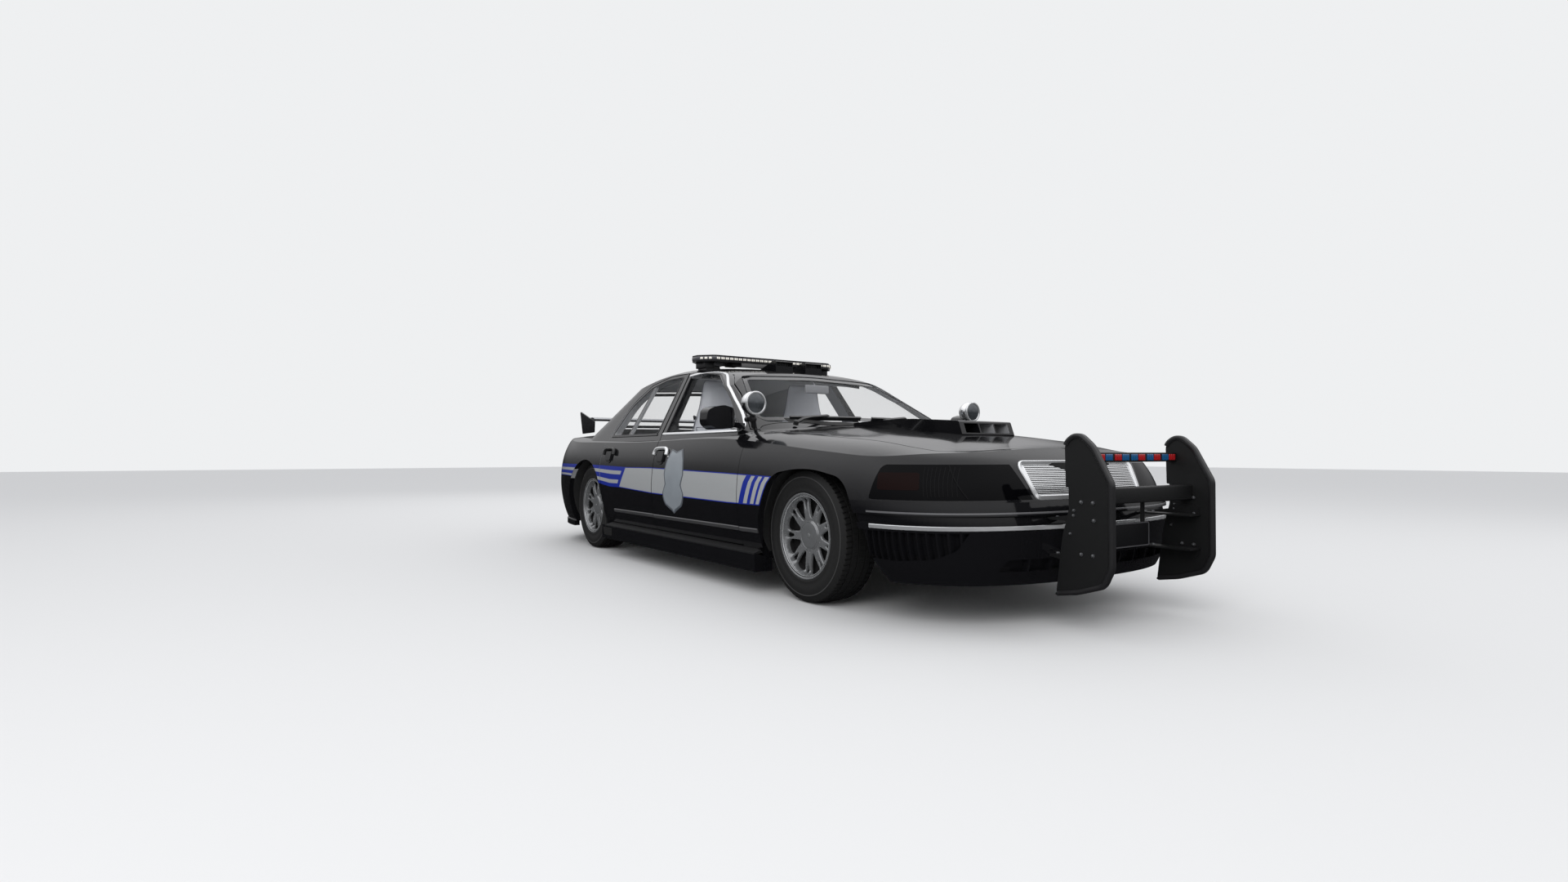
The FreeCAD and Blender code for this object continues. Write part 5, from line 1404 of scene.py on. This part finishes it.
def piping(build, place, radius=0.003):
    """Sewn edge round a cushion."""
    turn = [(s / 8 - 1, -1) for s in range(16)] + [(1, s / 12 - 1) for s in range(24)]
    turn += [(1 - s / 8, 1) for s in range(16)] + [(-1, 1 - s / 12) for s in range(24)]
    path = [place(u * 0.995, v * 0.995, 0) for u, v in turn]
    path = [p for i, p in enumerate(path) if (p - path[i - 1]).length > 1e-5]
    sweep(build, path, [Vector((1, 0, 0.3))] * len(path), circle(radius, 6), 0, True)


VOXEL = 0.0125
PUFF_FRAMES = 12
PUFF_CAP = 0.006
PRESSURE = 4


def puffed(cushion):
    """Cloth filled with air: the cushion swells a little between its seams and gets small folds."""
    data = cushion.data
    work = bpy.data.objects.new("work", data.copy())
    bpy.context.scene.collection.objects.link(work)
    remesh = work.modifiers.new("even", "REMESH")
    remesh.mode = "VOXEL"
    remesh.voxel_size = VOXEL
    start = bpy.data.meshes.new_from_object(work.evaluated_get(bpy.context.evaluated_depsgraph_get()))
    work.modifiers.clear()
    work.data = start
    cloth_step = work.modifiers.new("cloth", "CLOTH")
    settings = cloth_step.settings
    settings.quality = 4
    settings.tension_stiffness = 20
    settings.bending_stiffness = 2
    settings.use_pressure = True
    settings.uniform_pressure_force = PRESSURE
    settings.effector_weights.gravity = 0
    scene = bpy.context.scene
    for number in range(1, PUFF_FRAMES + 1):
        scene.frame_set(number)
    swollen = bpy.data.meshes.new_from_object(work.evaluated_get(bpy.context.evaluated_depsgraph_get()))
    for v, old in zip(swollen.vertices, start.vertices):
        move = v.co - old.co
        if move.length > PUFF_CAP:
            v.co = old.co + move * (PUFF_CAP / move.length)
    scene.frame_set(1)
    look = data.materials[0]
    swollen.materials.clear()
    swollen.materials.append(look)
    swollen.polygons.foreach_set("use_smooth", [True] * len(swollen.polygons))
    bpy.data.objects.remove(work)
    cushion.data = swollen


def back_front(z):
    """Front face of a front seat's back."""
    return -1560 - (z - 470) * 180 / 640 if z < 1110 else -1740 - (z - 1110) * 5 / 175


def back_rear(z):
    return -1760 - (z - 330) * 0.125 if z < 1130 else -1860 + (z - 1130) * 0.065


seat_widths = ((1290, 118), (1262, 134), (1180, 148), (1100, 164), (1060, 176), (990, 204), (930, 230),
               (440, 234))


def seat_pieces(middle):
    """Cushions of one front seat as (name, place function, material)."""
    def shell(u, v, rise):
        z = 862 + 420 * v
        front = back_front(z) - (46 if z < 980 else 46 - 38 * min(1.0, (z - 980) / 140))
        rear = back_rear(z) + 6
        half = (front - rear) / 2
        return at((front + rear) / 2 + half * rise, middle + u * line_at(seat_widths, z), z)

    def insert(u, v, rise):
        z = 770 + 240 * v
        x = back_front(z) - 52 + 24 * rise * (1 - 0.22 * abs(math.sin(math.pi * 3.5 * v)) ** 6)
        return at(x, middle + u * (128 + 14 * v * v), z)

    def wing(side):
        def place(u, v, rise):
            z = 705 + 235 * v
            x = back_front(z) - 50 + 44 * rise * (1 - 0.3 * v * v)
            return at(x, middle + side * (187 + u * 42 * (1 - 0.12 * v)), z)
        return place

    def base(u, v, rise):
        x = -1345 + 222 * v
        top = 500 + (x + 1110) / 15 - 30
        low = 338
        return at(x, middle + u * 234, (top + low) / 2 + (top - low) / 2 * rise)

    def pad(u, v, rise):
        x = -1330 + 196 * v
        top = 500 + (x + 1110) / 15 - 34
        return at(x, middle + u * 130, top + 24 * rise * (1 - 0.22 * abs(math.sin(math.pi * 2.5 * v)) ** 6))

    def roll(side):
        def place(u, v, rise):
            x = -1335 + 206 * v
            top = 500 + (x + 1110) / 15 - 46
            return at(x, middle + side * (188 + u * 40), top + 43 * rise)
        return place

    return (("back", shell, cloth_side), ("back_insert", insert, cloth), ("wing_outer", wing(-1), cloth_side),
            ("wing_inner", wing(1), cloth_side), ("base", base, cloth_side), ("base_insert", pad, cloth),
            ("roll_outer", roll(-1), cloth_side), ("roll_inner", roll(1), cloth_side))


def bench_pieces(middle):
    """Cushions of one half of the rear seat."""
    def channels(u):
        return 1 - 0.05 * abs(math.sin(math.pi * 2 * u)) ** 8

    def base(u, v, rise):
        x = -2215 + 170 * v
        top = 500 + (x + 2030) * 0.0857 - 8
        return at(x, middle + u * 283, (top + 300) / 2 + (top - 300) / 2 * rise * channels(u))

    def back(u, v, rise):
        z = 668 + 226 * v
        front = -2380 - (z - 470) * 120 / 430 - 4
        return at((front - 2566) / 2 + (front + 2566) / 2 * rise * channels(u), middle + u * 283, z)

    return (("base", base, cloth_side), ("back", back, cloth_side))


def seats():
    for tag, node, middles, make in (("seat", "front_seats", (-370, 370), seat_pieces),
                                     ("bench", "rear_seat", (-300, 300), bench_pieces)):
        for middle in middles:
            side = "right" if middle < 0 else "left"
            seams = Build()
            for name, place, look in make(middle):
                cushion = pillow(place).piece("%s_%s_%s" % (tag, name, side), (look,), "seat_cloth", sharp=60)
                puffed(cushion)
                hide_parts(node)
                piping(seams, place)
            seams.piece("%s_seams_%s" % (tag, side), (seam,), "seat_cloth", sharp=60)
    build = Build()
    for middle in (-370, 370):
        soft_box(build, -1640, -1180, middle - 190, middle + 190, 228, 345, 14)
    build.piece("seat_frames", (satin,), "seat_cloth")


def cabin():
    roof = surface("roof_panel", "body_frame")
    build = Build()
    grid = []
    for x in range(-1360, -2561, -60):
        grid.append([under_hit(roof, x, y) for y in range(-500, 501, 50)])
    grid = [row for row in grid if all(h and h[0].z > 1.2 for h in row)]
    slab(build, grid, 0.5, 9)
    build.piece("headliner", (liner_grey,), "seat_cloth")
    build = Build()
    soft_box(build, -1122, -1104, -98, 98, 1162, 1220, 8)
    build.piece("cabin_mirror", (trim_grey,), "gloss_plastic")
    build = Build()
    rod(build, [(-1122, 0, 1192), (-1150, 6, 1225), (-1195, 14, 1262)], 5, 0, 10)
    build.piece("cabin_mirror_stem", (trim_grey,), "gloss_plastic")
    for bodies, x0, x1 in ((DOORS, -1560, -620), (REARS, -2430, -1700)):
        tree = surface(bodies[0])
        build = Build()
        grid = []
        for z in (290, 400, 520, 640, 760, 850):
            row = [inner_hit(tree, x0 + (x1 - x0) * k / 12, z) for k in range(13)]
            if all(row):
                grid.append(row)
        if len(grid) > 1:
            slab(build, grid, -0.5, 7)
            name = "door_card_" + bodies[0].replace("_right", "")
            pair(build, name, (trim_grey,), "trim_plastic", bodies)
    build = Build()
    for y in (-450, -150, 150, 520):
        soft_box(build, -902, -893, y - 60, y + 60, 700, 760, 3)
    build.piece("dash_vents", (satin,), "trim_plastic")


stage_scene()
wheels()
stripes()
shield()
side_trim()
windows_trim()
front_details()
push_bar()
light_bar()
mirrors()
spotlights()
wipers()
rear_details()
seats()
cabin()
